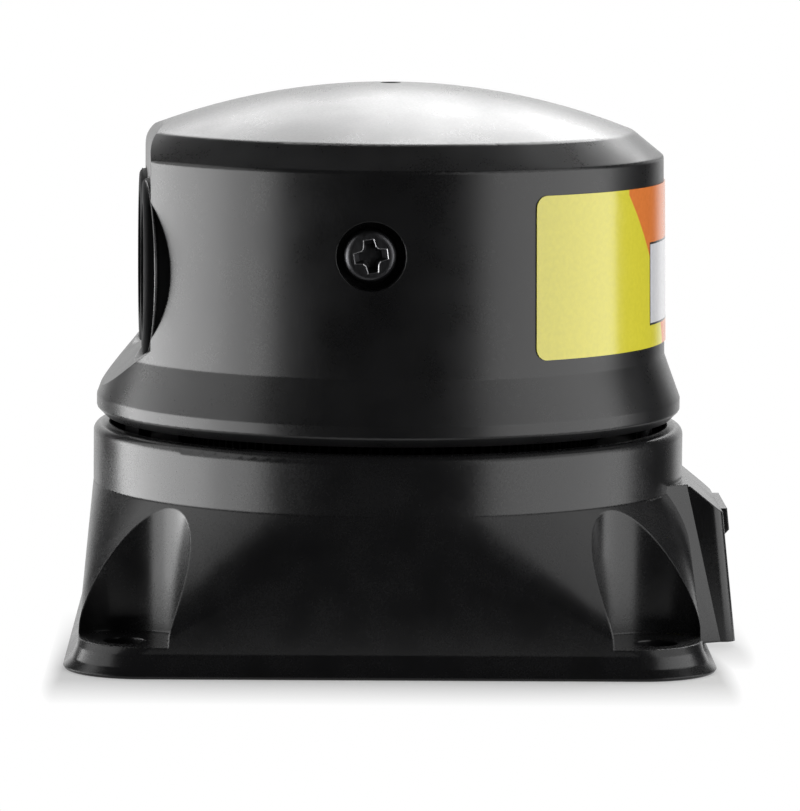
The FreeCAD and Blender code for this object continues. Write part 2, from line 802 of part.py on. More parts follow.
def base_ports(body):
    """Recess for the port board and the two openings behind it."""
    recess = drawing(body, "port_recess", "XZ_Plane", lift="-block_start + base_wall")
    rectangle(recess, ("-port_board_width/2 - port_gap", "plate_thickness"),
              ("port_board_width/2 + port_gap", "port_board_top + port_gap"))
    pocket(body, "port_recess_pocket", recess, "port_board_rear - block_start + base_wall")
    openings = drawing(body, "port_openings", "XZ_Plane", lift="-block_start")
    for width, height, centre in (("data_width", "data_height", "data_centre"),
                                  ("power_width", "power_height", "power_centre")):
        corners = [(f"{side}*({width}/2 + port_gap)", f"{centre} + {level}*({height}/2 + port_gap)")
                   for side, level in ((-1, -1), (1, -1), (1, 1), (-1, 1))]
        add_loop(openings, corners)
    pocket(body, "port_pocket", openings, "block_reach")


def add_loop(sketch, corners):
    """One more closed straight-sided loop in a sketch that may hold others."""
    first = sketch.GeometryCount
    spots = [FreeCAD.Vector(number(x), number(y), 0) for x, y in corners]
    for index, spot in enumerate(spots):
        sketch.addGeometry(Part.LineSegment(spot, spots[(index + 1) % len(spots)]))
    for index, (x, y) in enumerate(corners):
        following = first + (index + 1) % len(corners)
        sketch.addConstraint(Sketcher.Constraint("Coincident", first + index, 2, following, 1))
        pin(sketch, first + index, 1, x, y)


def build_base_housing():
    body = new_body("base_housing")
    base_outer_form(body)
    base_socket_block(body)
    base_inside(body)
    base_drive_holes(body)
    base_corner_holes(body)
    base_ports(body)


def countersink(name, x, y):
    """Cone that lets a flat screw head sink into the base plate."""
    cone = doc.addObject("Part::Cone", name)
    cone.setExpression("Radius1", ref("screw_head + screw_sink + screw_gap"))
    cone.setExpression("Radius2", ref("screw_radius + screw_gap"))
    cone.setExpression("Height", ref("screw_head + screw_sink - screw_radius"))
    place(cone, x, y, "0")
    return cone


def corner_places(x, y):
    return [(f"{side}*{x}", f"{depth}*{y}") for side, depth in CORNERS]


def build_base_plate():
    body = new_body("base_plate_blank", kept=False)
    disc = drawing(body, "disc")
    circle(disc, "plate_seat_radius - plate_gap")
    pad(body, "disc_pad", disc, "plate_thickness")
    stands = drawing(body, "stands", lift="plate_thickness")
    four_circles(stands, "post_radius", "post_offset", "post_offset")
    pad(body, "stand_pads", stands, "board_lift")
    holes = drawing(body, "holes")
    four_circles(holes, "screw_radius + screw_pass", "post_offset", "post_offset")
    pocket(body, "hole_pockets", holes, "board_bottom", flip=True)
    spots = corner_places("post_offset", "post_offset")
    sinks = [countersink(f"plate_sink_{index}", *spot) for index, spot in enumerate(spots)]
    keep("base_plate", cut("base_plate", body, *sinks))


def countersunk_screw(name, x, y):
    """Screw from below with a flat cone head."""
    head = doc.addObject("Part::Cone", f"{name}_head")
    head.setExpression("Radius1", ref("screw_head"))
    head.setExpression("Radius2", ref("screw_radius"))
    head.setExpression("Height", ref("screw_head - screw_radius"))
    place(head, x, y, "screw_sink")
    shank = rod(f"{name}_shank", "screw_radius", "screw_sink + screw_head - screw_radius",
                "board_top + screw_bite - screw_pass", at=(x, y))
    return fuse(name, head, shank)


def build_base_screws():
    spots = corner_places("post_offset", "post_offset")
    group("base_screws", [countersunk_screw(f"base_screw_{index}", *spot) for index, spot in enumerate(spots)])


def build_base_boards():
    body = new_body("main_board")
    sheet_edge = drawing(body, "edge", lift="board_bottom")
    flatted_circle(sheet_edge, "cavity_radius - board_edge", "board_flat", side=1)
    pad(body, "sheet", sheet_edge, "board_thickness")
    holes = drawing(body, "holes", lift="board_bottom")
    four_circles(holes, "screw_radius + screw_pass", "post_offset", "post_offset")
    pocket(body, "hole_pockets", holes, "board_thickness", flip=True)
    keep("port_board", box("port_board", ("-port_board_width/2", "block_start", "plate_thickness"),
                           ("port_board_width/2", "port_board_rear", "port_board_top")))


def socket_box(name, width, height, centre, start, end, inset="0"):
    """Box across the socket block, set in from a socket's outer size."""
    return box(name, (f"-{width}/2 + {inset}", start, f"{centre} - {height}/2 + {inset}"),
               (f"{width}/2 - {inset}", end, f"{centre} + {height}/2 - {inset}"))


def build_data_socket():
    size = ("data_width", "data_height", "data_centre")
    back = "port_board_rear + socket_back"
    outer = socket_box("data_shell", *size, "port_board_rear", "data_front")
    hollow = socket_box("data_hollow", *size, back, "data_front + data_wall", inset="data_wall")
    tongue = box("data_contact_tongue", ("-data_width/4", back, "data_centre - data_tongue/2"),
                 ("data_width/4", "data_front - data_wall", "data_centre + data_tongue/2"))
    keep("data_socket", fuse("data_socket", cut("data_shell_open", outer, hollow), tongue))


def build_power_socket():
    size = ("power_width", "power_height", "power_centre")
    back = "port_board_rear + socket_back"
    outer = socket_box("power_shell", *size, "port_board_rear", "power_front")
    hollow = socket_box("power_hollow", *size, back, "power_front + power_wall", inset="power_wall")
    keep("power_socket", cut("power_socket", outer, hollow))
    pins = []
    for index in range(round(number("pin_count"))):
        middle = f"({index} - (pin_count - 1)/2)*pin_pitch"
        pins.append(box(f"power_pin_{index}", (f"{middle} - pin_size/2", back, "power_centre - pin_size/2"),
                        (f"{middle} + pin_size/2", f"{back} + pin_length", "power_centre + pin_size/2")))
    group("power_pins", pins)


def build_motor():
    bore = "(shaft_radius + shaft_gap)"
    nose = "deck_bottom + motor_nose_height"
    body = turned("motor", [("0", "motor_bottom"), ("motor_radius", "motor_bottom"),
                            ("motor_radius", "deck_bottom"), ("motor_nose", "deck_bottom"),
                            ("motor_nose", nose), (bore, nose), (bore, "shaft_end"), ("0", "shaft_end")])
    holes = drawing(body, "screw_holes", lift="deck_bottom")
    for side in (1, -1):
        circle(holes, "motor_screw_radius + screw_gap", "0", f"{side}*motor_screw_offset")
    pocket(body, "screw_pockets", holes, "motor_screw_bite")
    place(body, "motor_x")
    screws = []
    for side, word in ((1, "rear"), (-1, "front")):
        spot = ("motor_x", f"{side}*motor_screw_offset")
        head_bottom = "deck_top - motor_screw_head_height"
        head = rod(f"motor_screw_head_{word}", "motor_screw_head", head_bottom, "deck_top", at=spot)
        shank = rod(f"motor_screw_shank_{word}", "motor_screw_radius",
                    "deck_bottom - motor_screw_bite + screw_gap", head_bottom, at=spot)
        screws.append(fuse(f"motor_screw_{word}", head, shank))
    group("motor_screws", screws)


def gear_outline(teeth, phase):
    """Tooth corners round a gear: root, pitch and tip of each flank on an involute."""
    module = number("gear_module")
    pitch = module * teeth / 2
    base = pitch * math.cos(PRESSURE_ANGLE)
    radii = [pitch - DEDENDUM * module, pitch, pitch + ADDENDUM * module]

    def involute(radius):
        angle = math.acos(min(1, base / radius))
        return math.tan(angle) - angle

    half = math.pi / (2 * teeth) - number("gear_backlash") / (2 * pitch)
    widths = [half + involute(pitch) - involute(radius) for radius in radii]
    flank = list(zip(radii, widths))
    corners = []
    for tooth in range(teeth):
        middle = 2 * math.pi * (tooth + phase) / teeth
        for radius, width in flank:
            corners.append((radius, middle - width))
        for radius, width in reversed(flank):
            corners.append((radius, middle + width))
    return [FreeCAD.Vector(radius * math.cos(angle), radius * math.sin(angle), 0) for radius, angle in corners]


def gear(name, teeth, bore, phase, x, start, end):
    """Spur gear between two heights, built from its tooth formula."""
    corners = gear_outline(teeth, phase)
    blank = Part.Face(Part.makePolygon(corners + corners[:1]))
    hole = Part.Face(Part.Wire(Part.makeCircle(number(bore))))
    wheel = doc.addObject("Part::Feature", name)
    wheel.Shape = blank.cut(hole).extrude(UP * (number(end) - number(start)))
    place(wheel, x, "0", start)
    keep(name, wheel)


def build_drive():
    ring_teeth = round(number("ring_teeth"))
    pinion_teeth = round(number("pinion_teeth"))
    mesh_phase = 0.5 - ring_teeth / 2 % 1
    top = "flange_bottom - pinion_clear"
    gear("ring_gear", ring_teeth, "gear_seat + fit_gap", 0, "0", "gear_bottom", "flange_bottom")
    gear("drive_pinion", pinion_teeth, "shaft_radius + fit_gap", mesh_phase, "motor_x", "gear_bottom", top)
    keep("motor_shaft", rod("motor_shaft", "shaft_radius", "shaft_end + shaft_gap", top,
                            at=("motor_x", "0")))


def ball_groove(name):
    track = doc.addObject("Part::Torus", name)
    track.setExpression("Radius1", ref("ball_pitch"))
    track.setExpression("Radius2", ref("ball_radius + ball_gap"))
    place(track, z="ball_height")
    return track


def ball(name, index):
    sphere = doc.addObject("Part::Sphere", name)
    sphere.setExpression("Radius", ref("ball_radius"))
    angle = f"({index}*360/ball_count)"
    place(sphere, f"ball_pitch*cos({angle})", f"ball_pitch*sin({angle})", "ball_height")
    return sphere


def tube(name, outer, inner, start, end):
    return cut(name, rod(f"{name}_outer", outer, start, end),
               rod(f"{name}_bore", inner, f"{start} - {CUT_MARGIN}", f"{end} + {CUT_MARGIN}"))


def build_bearing():
    outer = tube("outer_race_blank", "bearing_outside", "bearing_outer_rim", "bearing_bottom", "deck_top")
    inner = tube("inner_race_blank", "bearing_inner_rim", "bearing_bore", "bearing_bottom", "deck_top")
    keep("bearing_outer_race", cut("bearing_outer_race", outer, ball_groove("outer_track")))
    keep("bearing_inner_race", cut("bearing_inner_race", inner, ball_groove("inner_track")))
    count = round(number("ball_count"))
    group("bearing_balls", [ball(f"bearing_ball_{index}", index) for index in range(count)])
    inner_face = "(ball_pitch - cage_thickness/2)"
    outer_face = "(ball_pitch + cage_thickness/2)"
    low = "(ball_height - cage_height/2)"
    high = "(ball_height + cage_height/2)"
    cage = turned("bearing_cage", [(inner_face, low), (outer_face, low), (outer_face, high), (inner_face, high)])
    seat = drawing(cage, "ball_seat", "YZ_Plane", lift=f"{outer_face} + cage_thickness")
    circle(seat, "ball_radius + cage_gap", "0", "ball_height")
    seat_pocket = pocket(cage, "ball_seat_pocket", seat, "3*cage_thickness")
    repeat(cage, "ball_seats", [seat_pocket], count)


def build_turntable():
    hub = "(bearing_bore - fit_gap)"
    groove = f"({hub} - clip_groove)"
    magnet = "(bearing_bore - magnet_step)"
    magnet_top = "hub_end + magnet_height"
    edge = "seat_radius - turntable_gap"
    body = turned("turntable", [
        ("hub_bore", "hub_end"), (magnet, "hub_end"), (magnet, magnet_top), (hub, magnet_top),
        (hub, "clip_bottom"), (groove, "clip_bottom"), (groove, "bearing_bottom"), (hub, "bearing_bottom"),
        (hub, "deck_top"), ("hub_shoulder", "deck_top"), ("hub_shoulder", "gear_bottom"),
        ("gear_seat", "gear_bottom"), ("gear_seat", "flange_bottom"), (edge, "flange_bottom"),
        (edge, "turntable_top"), ("hub_bore", "turntable_top")])
    pads = drawing(body, "pads", lift="turntable_top")
    four_circles(pads, "optic_foot_half", "optic_screw_x", "optic_screw_y")
    pad(body, "pad_pads", pads, "pad_height")
    holes = drawing(body, "holes", lift="gear_bottom")
    four_circles(holes, "screw_radius + screw_pass", "optic_screw_x", "optic_screw_y")
    pocket(body, "hole_pockets", holes, "head_board_bottom - gear_bottom", flip=True)
    heads = drawing(body, "heads", lift="gear_bottom")
    four_circles(heads, "screw_head + screw_pass", "optic_screw_x", "optic_screw_y")
    pocket(body, "head_pockets", heads, "optic_screw_head_height", flip=True)
    lug = drawing(body, "lug", "YZ_Plane")
    rectangle(lug, ("-stop_radius - lug_width/2", "flange_bottom - lug_height"),
              ("-stop_radius + lug_width/2", "turntable_top - turntable_thickness/2"))
    stop_angle = "asin((stop_pin_radius + stop_gap)/stop_radius)/1deg"
    revolve(body, "lug_turn", lug, angle=f"2*(180 - sweep_limit - {stop_angle})")


def build_hub_pieces():
    clip_inner = "bearing_bore - clip_groove"
    ring = tube("clip_ring", "clip_radius", clip_inner, "clip_bottom", "bearing_bottom")
    gap = box("clip_gap", ("-clip_gap_width/2", "0", "clip_bottom"), ("clip_gap_width/2", "clip_radius", "bearing_bottom"))
    keep("retaining_clip", cut("retaining_clip", ring, gap))
    magnet = "bearing_bore - magnet_step + fit_gap"
    keep("encoder_magnet", tube("encoder_magnet", f"{magnet} + magnet_wall", magnet,
                                "hub_end", "hub_end + magnet_height"))
    keep("stop_pin", rod("stop_pin", "stop_pin_radius", "deck_bottom", "stop_pin_top", at=("0", "stop_radius")))


def build_leads():
    middle = "bearing_bore - magnet_step + magnet_wall/2"
    keep("encoder_sensor", box("encoder_sensor", (f"{middle} - sensor_size/2", "-sensor_size/2", "board_top"),
                               (f"{middle} + sensor_size/2", "sensor_size/2", "board_top + sensor_height")))
    for name, low in (("base_plug", "board_top"), ("head_plug", "(head_board_bottom - plug_height)")):
        keep(name, box(name, ("-plug_length/2", "-plug_width/2", low),
                       ("plug_length/2", "plug_width/2", f"{low} + plug_height")))
    keep("wire_harness", rod("wire_harness", "harness_radius", "board_top + plug_height",
                             "head_board_bottom - plug_height - harness_gap"))


def build_head_board():
    body = new_body("head_board")
    edge = drawing(body, "edge", lift="head_board_bottom")
    flatted_circle(edge, "shell_cavity - head_board_edge", "front_flat - shell_wall - head_board_front", side=-1)
    pad(body, "sheet", edge, "head_board_thickness")
    holes = drawing(body, "holes", lift="head_board_bottom")
    four_circles(holes, "screw_radius + screw_pass", "optic_screw_x", "optic_screw_y")
    pocket(body, "hole_pockets", holes, "head_board_thickness", flip=True)


def head_outer_form(body):
    """Dome, chamfered shoulder, drafted wall and flared flange, turned as one solid."""
    profile = drawing(body, "profile", "XZ_Plane")
    rounds = {corner: "edge_round" for corner in (2, 3, 4, 5)}
    rounds[6] = "dome_round"
    outline(profile, [
        ("0", "flange_bottom"), ("flange_radius - flange_chamfer", "flange_bottom"),
        ("flange_radius", "flange_bottom + flange_chamfer"), ("flange_radius", "flange_top"),
        ("wall_foot_radius", "flare_top"), ("shoulder_radius", "shoulder_z"), ("dome_edge", "dome_base"),
        ("0", "head_top")], domes=(6,), rounds=rounds)
    revolve(body, "turn", profile)


def head_front(body):
    """Flat front with a sloping lip below it, rounded into the dome above."""
    side = drawing(body, "front_side", "YZ_Plane")
    outer = "(flange_radius + shell_wall)"
    crest = "dome_base + dome_rise/dome_edge*front_flat"
    outline(side, [("-front_flat", "lip_top"), ("-front_flat", "dome_base"), ("-front_flat/2", crest),
                   (f"-{outer}", crest), (f"-{outer}", f"lip_top + front_flat - {outer}")],
            rounds={1: "front_round"})
    pocket(body, "front_pocket", side, "2*flange_radius", both=True)


def head_inside(body):
    """Seat of the turntable, and the cavity that follows the flat front and the dome."""
    seat = drawing(body, "seat", lift="flange_bottom")
    circle(seat, "seat_radius")
    pocket(body, "seat_pocket", seat, "turntable_thickness", flip=True)
    cavity_top = "(shoulder_z - shell_wall/2)"
    cavity = drawing(body, "cavity", lift="turntable_top")
    flatted_circle(cavity, "shell_cavity", "front_flat - shell_wall", side=-1)
    pocket(body, "cavity_pocket", cavity, f"{cavity_top} - turntable_top", flip=True)
    dome = drawing(body, "dome", "XZ_Plane")
    inner_edge = "dome_edge - shell_wall"
    outline(dome, [("0", "shoulder_z - shell_wall"), (inner_edge, "shoulder_z - shell_wall"),
                   (inner_edge, "dome_base - shell_wall"), ("0", "head_top - shell_wall")], domes=(2,))
    revolve(body, "dome_groove", dome, kind="Groove")


def head_openings(body):
    """Screw bosses and counterbores at the sides, lens openings in front, recess in the crown."""
    spot = ("side_screw_y", "side_screw_z")
    boss = drawing(body, "boss", "YZ_Plane", lift="side_boss_face")
    circle(boss, "side_boss", *spot)
    boss_pad = pad(body, "boss_pad", boss, "shell_cavity + shell_wall/3 - side_boss_face")
    bore = drawing(body, "counterbore", "YZ_Plane", lift="flange_radius")
    circle(bore, "side_bore", *spot)
    bore_pocket = pocket(body, "counterbore_pocket", bore, "flange_radius - side_seat")
    hole = drawing(body, "screw_hole", "YZ_Plane", lift="flange_radius")
    circle(hole, "screw_radius + screw_pass", *spot)
    hole_pocket = pocket(body, "screw_hole_pocket", hole, "flange_radius - side_boss_face")
    both_sides(body, "far_side", [boss_pad, bore_pocket, hole_pocket])
    lens = drawing(body, "lens_opening", "XZ_Plane", lift="flange_radius")
    circle(lens, "barrel_radius + barrel_gap", "lens_spacing/2", "lens_height")
    lens_pocket = pocket(body, "lens_pocket", lens, "flange_radius - front_flat/2")
    both_sides(body, "far_lens", [lens_pocket])
    crown = drawing(body, "crown", lift="head_top")
    circle(crown, "crown_radius")
    pocket(body, "crown_pocket", crown, "crown_depth")


def build_head_shell():
    body = new_body("head_shell")
    head_outer_form(body)
    head_front(body)
    head_inside(body)
    head_openings(body)


def cross_outline(sketch, length, width, inner_round):
    """Plus sign of two equal bars, with rounded inner corners."""
    arm, half = f"{length}/2", f"{width}/2"
    quarter = [(arm, half), (half, half), (half, arm)]
    corners = []
    for turn in range(4):
        for x, y in quarter:
            spun = [(x, y), (f"-({y})", x), (f"-({x})", f"-({y})"), (y, f"-({x})")]
            corners.append(spun[turn])
    outline(sketch, corners, rounds={index: inner_round for index in (1, 4, 7, 10)})


def build_shell_screws():
    body = turned("shell_screw_right", [
        ("0", "-side_depth - side_seat + side_boss_face + screw_pass"),
        ("screw_radius", "-side_depth - side_seat + side_boss_face + screw_pass"), ("screw_radius", "0"),
        ("side_head", "0"), ("side_head", "side_head_height/2"), ("0", "side_head_height")], domes=(4,), kept=False)
    recess = drawing(body, "recess", lift="side_head_height")
    cross_outline(recess, "recess_length", "recess_width", "recess_round")
    pocket(body, "recess_pocket", recess, "recess_depth")
    place(body, "side_seat", "side_screw_y", "side_screw_z", turn="screw")
    group("shell_screws", [body, mirrored("shell_screw_left", body)])


def build_head_label():
    """Thin film round the rear, lying on the drafted wall."""
    body = new_body("head_label")
    profile = drawing(body, "profile", "YZ_Plane")
    low = "(wall_foot_radius + wall_slope*(label_bottom - flare_top))"
    high = "(wall_foot_radius + wall_slope*(label_top - flare_top))"
    outline(profile, [(low, "label_bottom"), (f"{low} + label_thickness", "label_bottom"),
                      (f"{high} + label_thickness", "label_top"), (high, "label_top")])
    revolve(body, "wrap", profile, angle="label_span")

    def short_edge(edge):
        return edge.Length < 2 * number("label_thickness")

    round_edges(body, "corner_round", "label_corner", short_edge)


def build_optic_block():
    """Two lens barrels that run into one another, in one casting with feet and side ears."""
    body = new_body("optic_block")
    barrel = drawing(body, "barrel", "XZ_Plane", lift="barrel_front")
    circle(barrel, "barrel_radius", "lens_spacing/2", "lens_height")
    pad(body, "barrel_pad", barrel, "barrel_front + barrel_rear", flip=True)

    def front_edge(edge):
        return edge.BoundBox.YMax < -number("barrel_front") + 1e-3

    round_edges(body, "barrel_round", "barrel_round", front_edge)
    both_sides(body, "far_barrel")
    seats = drawing(body, "lens_seats", "XZ_Plane", lift="barrel_front")
    bores = drawing(body, "bores", "XZ_Plane", lift="barrel_front")
    ends = drawing(body, "diode_holes", "XZ_Plane", lift="barrel_front")
    threads = drawing(body, "board_holes", "XZ_Plane", lift="-barrel_rear")
    for side in (1, -1):
        spot = (f"{side}*lens_spacing/2", "lens_height")
        circle(seats, "lens_radius + lens_gap", *spot)
        circle(bores, "lens_bore", *spot)
        circle(ends, "diode_radius + diode_gap", *spot)
        for level in (1, -1):
            circle(threads, "board_screw_radius + screw_gap", spot[0], f"lens_height + {level}*board_screw_offset")
    foot = drawing(body, "foot", lift="head_board_top")
    rectangle(foot, ("optic_screw_x - optic_foot_half", "-optic_screw_y - optic_foot_half"),
              ("optic_screw_x + optic_foot_half", "optic_screw_y + optic_foot_half"))
    foot_pad = pad(body, "foot_pad", foot, "optic_foot_height")
    ear = drawing(body, "ear", "YZ_Plane", lift="lens_spacing/2")
    circle(ear, "ear_radius", "side_screw_y", "side_screw_z")
    ear_pad = pad(body, "ear_pad", ear, "side_boss_face - lens_spacing/2")
    both_sides(body, "far_side", [foot_pad, ear_pad])
    pocket(body, "lens_seat_pockets", seats, "lens_seat_depth")
    pocket(body, "bore_pockets", bores, "barrel_front + barrel_rear - barrel_back_wall")
    pocket(body, "diode_pockets", ends, "barrel_front + barrel_rear")
    pocket(body, "board_pockets", threads, "board_screw_bite", flip=True)
    core = drawing(body, "ear_core", "YZ_Plane", lift="side_boss_face")
    circle(core, "screw_radius + screw_gap", "side_screw_y", "side_screw_z")
    core_pocket = pocket(body, "ear_core_pocket", core, "side_depth")
    both_sides(body, "far_core", [core_pocket])
    feet = drawing(body, "foot_cores", lift="head_board_top")
    four_circles(feet, "screw_radius + screw_gap", "optic_screw_x", "optic_screw_y")
    pocket(body, "foot_core_pockets", feet, "optic_screw_bite", flip=True)


def build_lenses():
    for name, side in (("transmit_lens", -1), ("receive_lens", 1)):
        spot = (f"{side}*lens_spacing/2", "lens_height")
        lens = turned(name, [("0", "0"), ("lens_radius", "0"), ("lens_radius", "lens_edge"),
                             ("lens_bore", "lens_edge"), ("0", "lens_edge + lens_bulge")], domes=(3,))
        place(lens, spot[0], "-lens_shoulder", spot[1], turn="front")
        back = "-lens_shoulder - lens_edge"
        ring = rod(f"{name}_ring_outer", "lens_radius", f"{back} - ring_thickness", back, at=spot, axis="y")
        hole = rod(f"{name}_ring_hole", "lens_bore", f"{back} - ring_thickness - {CUT_MARGIN}",
                   f"{back} + {CUT_MARGIN}", at=spot, axis="y")
        keep(f"{name}_ring", cut(f"{name}_ring", ring, hole))


def build_optic_boards():
    rear = "(barrel_rear + optic_board_thickness)"
    screws = []
    for name, part, side in (("laser_board", "laser_diode", -1), ("detector_board", "photo_detector", 1)):
        middle = f"{side}*lens_spacing/2"
        edges = ["optic_board_inner", "optic_board_outer"] if side > 0 else ["-optic_board_outer", "-optic_board_inner"]
        blank = box(f"{name}_blank", (edges[0], "barrel_rear", "optic_board_bottom"),
                    (edges[1], rear, "optic_board_top"))
        holes = []
        for level, word in ((1, "upper"), (-1, "lower")):
            spot = (middle, f"lens_height + {level}*board_screw_offset")
            holes.append(rod(f"{name}_hole_{word}", "board_screw_radius + screw_pass",
                             f"barrel_rear - {CUT_MARGIN}", f"{rear} + {CUT_MARGIN}", at=spot, axis="y"))
            head = rod(f"{name}_head_{word}", "board_screw_head", rear, f"{rear} + board_screw_head_height",
                       at=spot, axis="y")
            shank = rod(f"{name}_shank_{word}", "board_screw_radius", "barrel_rear - board_screw_bite + screw_gap",
                        rear, at=spot, axis="y")
            screws.append(fuse(f"{name}_screw_{word}", head, shank))
        keep(name, cut(name, blank, *holes))
        can = rod(part, "diode_radius", "barrel_rear - diode_length", "barrel_rear",
                  at=(middle, "lens_height"), axis="y")
        keep(part, can)
    group("board_screws", screws)


def build_optic_screws():
    screws = []
    for index, spot in enumerate(corner_places("optic_screw_x", "optic_screw_y")):
        seat = "gear_bottom + optic_screw_head_height"
        head = rod(f"optic_screw_head_{index}", "screw_head", "gear_bottom", seat, at=spot)
        shank = rod(f"optic_screw_shank_{index}", "screw_radius", seat,
                    "head_board_top + optic_screw_bite - screw_gap", at=spot)
        screws.append(fuse(f"optic_screw_{index}", head, shank))
    group("optic_screws", screws)


def export():
    """Write each sub-part to its own file, once every one of them is sound.

    The head stands one gear tooth round from straight ahead.
    """
    doc.recompute()
    failed = [thing.Name for thing in doc.Objects if {"Invalid", "Error"} & set(thing.State)]
    broken = [name for name, thing in nodes.items() if thing.Shape.isNull() or not thing.Shape.isValid()]
    if failed or broken:
        raise RuntimeError(f"failed objects {failed}, unsound sub-parts {broken}")
    os.makedirs("parts", exist_ok=True)
    for name, thing in nodes.items():
        shape = thing.Shape.copy()
        if name in HEAD:
            shape.rotate(ORIGIN, UP, number("360/ring_teeth"))
        shape.exportStep(f"parts/{name}.step")


build_base_housing()
build_base_plate()
build_base_screws()
build_base_boards()
build_data_socket()
build_power_socket()
build_motor()
build_drive()
build_bearing()
build_turntable()
build_hub_pieces()
build_leads()
build_head_board()
build_head_shell()
build_shell_screws()
build_head_label()
build_optic_block()
build_lenses()
build_optic_boards()
build_optic_screws()
export()
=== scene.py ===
import math

import bmesh
import bpy
from mathutils import Matrix, Vector


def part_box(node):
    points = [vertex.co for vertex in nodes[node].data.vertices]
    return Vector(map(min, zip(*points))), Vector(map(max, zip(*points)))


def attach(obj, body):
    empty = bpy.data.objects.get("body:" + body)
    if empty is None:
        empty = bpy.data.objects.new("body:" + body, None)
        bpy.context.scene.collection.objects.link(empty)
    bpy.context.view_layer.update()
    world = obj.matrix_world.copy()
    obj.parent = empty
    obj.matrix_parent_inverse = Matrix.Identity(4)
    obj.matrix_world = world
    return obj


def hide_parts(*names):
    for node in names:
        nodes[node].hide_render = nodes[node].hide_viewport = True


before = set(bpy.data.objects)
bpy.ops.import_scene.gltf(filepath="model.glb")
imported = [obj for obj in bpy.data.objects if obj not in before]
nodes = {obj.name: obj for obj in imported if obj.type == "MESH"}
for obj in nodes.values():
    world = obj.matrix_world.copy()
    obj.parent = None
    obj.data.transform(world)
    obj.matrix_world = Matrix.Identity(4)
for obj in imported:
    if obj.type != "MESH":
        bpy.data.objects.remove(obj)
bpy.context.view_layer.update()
scene = bpy.context.scene
scene.view_settings.view_transform = "Standard"

MM = 0.001
WHITE = (1, 1, 1, 1)

# Camera, at the photograph's viewing angle
VIEW_AZIMUTH = 89.0
CAMERA_DISTANCE = 438.0 * MM
CAMERA_HEIGHT = 68.1 * MM
TARGET_SIDE = 0.92 * MM
TARGET_HEIGHT = 17.83 * MM
CAMERA_LENS = 249.2
CAMERA_ROLL = 0.45
SENSOR_WIDTH = 36
CLIP_START = 10 * MM

# Softboxes stand at one distance round a point in the object; angles in degrees, bearings from the camera
LAMP_DISTANCE = 400 * MM
LAMP_CENTRE = Vector((0, 0, 20 * MM))

# Upright softboxes: name, bearings and elevations that each fills, radiance, level for matt surfaces if lower
UPRIGHT_BOXES = (
    ("left_box", (-126, -71), (-25, 11), 6.9, 2.6),
    ("left_edge", (-71, -47), (-25, 11), 4.4, 2.6),
    ("left_upper", (-125, -55), (11, 52), 1.7, None),
    ("right_box", (37.5, 106), (-25, 30), 2.85, None),
    ("right_upper", (37.5, 115), (30, 55), 1.4, None),
)

# Softboxes that lean over the object from behind: name, bearing, half width, radiance
LEANING_BOXES = (
    ("back_right", 161.5, 11, 5.9),
    ("back_middle", 179, 4, 4.9),
    ("back_left", 194, 8.5, 3.8),
)
LEANING_ELEVATION = 39.8
LEANING_HALF_HEIGHT = 17.2

# World: cosines from the backdrop's middle where its reflection starts and is full, and the light elsewhere
BACKDROP_EDGE = 0.79
BACKDROP_FULL = 0.927
ROOM_LIGHT = 0.01

# Floor, a hair below the foot
FLOOR_RADIUS = 46 * MM
FLOOR_SIDES = 128
FLOOR_DROP = 0.02 * MM
PAPER_GREY = (0.7, 0.7, 0.7)
FIBRE_SIZE = 0.4 * MM
FIBRE_TONES = (0.97, 1.0)

# Painted shadow on the floor, set by position round the foot and socket block: lengths of its fade, X where
# it comes in towards the front, share of white left in it
PAINTED_SHADOW_FADES = (11 * MM, 1.3 * MM, 1.0)
PAINTED_SHADOW_FRONT = (-10 * MM, 20 * MM)
PAINTED_SHADOW_WHITE = 0.3
# Painted shade under the foot, inside a margin from its edge, and its fade in widths of the shadow's fade
FOOT_MARGIN = 2.5 * MM
FOOT_FADE = 0.1

# Shader nodes: span that soft noise mostly covers, samples of a rounded edge, colour sockets of a Mix node
NOISE_SPAN = (0.3, 0.7)
EDGE_SAMPLES = 6
MIX_COLOURS = (6, 7)
MIX_RESULT = 2

# Moulded plastic: black of the housings, drift of colour and gloss, depth of the grain, matt bowl of the base
HOUSING_BLACK = (0.0085, 0.0085, 0.009)
PLASTIC_IOR = 1.5
DRIFT_SCALE = 18
GLOSS_DRIFT = 0.05
GRAIN_DEPTH = 0.05 * MM
BOWL_RADIUS = 21.9 * MM
BOWL_ROUGH = 0.9

# Worked metal
TOOL_LINE = 0.08 * MM
TOOL_DEPTH = 0.02 * MM
PATCH_SIZE = 1.2 * MM
PATCH_TINT = 0.08

# Circuit boards
MASK_GREEN = (0.012, 0.10, 0.045)
TRACK_GREEN = (0.03, 0.20, 0.09)
PAD_TIN = (0.62, 0.60, 0.55)
BARE_EDGE = (0.34, 0.30, 0.16)
TRACK_WIDTH = 0.12 * MM
TRACK_SOFTNESS = 0.1
TRACK_RUN = 2.6 * MM
TRACK_PITCH = 0.7 * MM
TRACK_DEPTH = 0.03 * MM
TRACK_RELIEF = 0.3
PAD_PITCH = 1.6 * MM
PAD_SCATTER = 0.75
PAD_EDGE = (0.19, 0.23)
FACE_LIMIT = 0.7
WEAVE_SIZE = 0.3 * MM
WEAVE_TONES = (0.85, 1.15)
MASK_ROUGH = 0.38
TIN_ROUGH = 0.28

# Lens glass; the coating's thickness is in nanometres
GLASS_TINT = (0.62, 0.34, 0.40)
GLASS_TONES = (0.95, 1.05)
GLASS_PATCH = 6 * MM
GLASS_IOR = 1.52
GLASS_CLEARNESS = 0.92
COATING_THICKNESS = 430.0
COATING_IOR = 1.38
DUST_SIZE = 0.5 * MM
DUST_SPAN = (0.55, 0.8)
DUST_ROUGH = (0.015, 0.06)

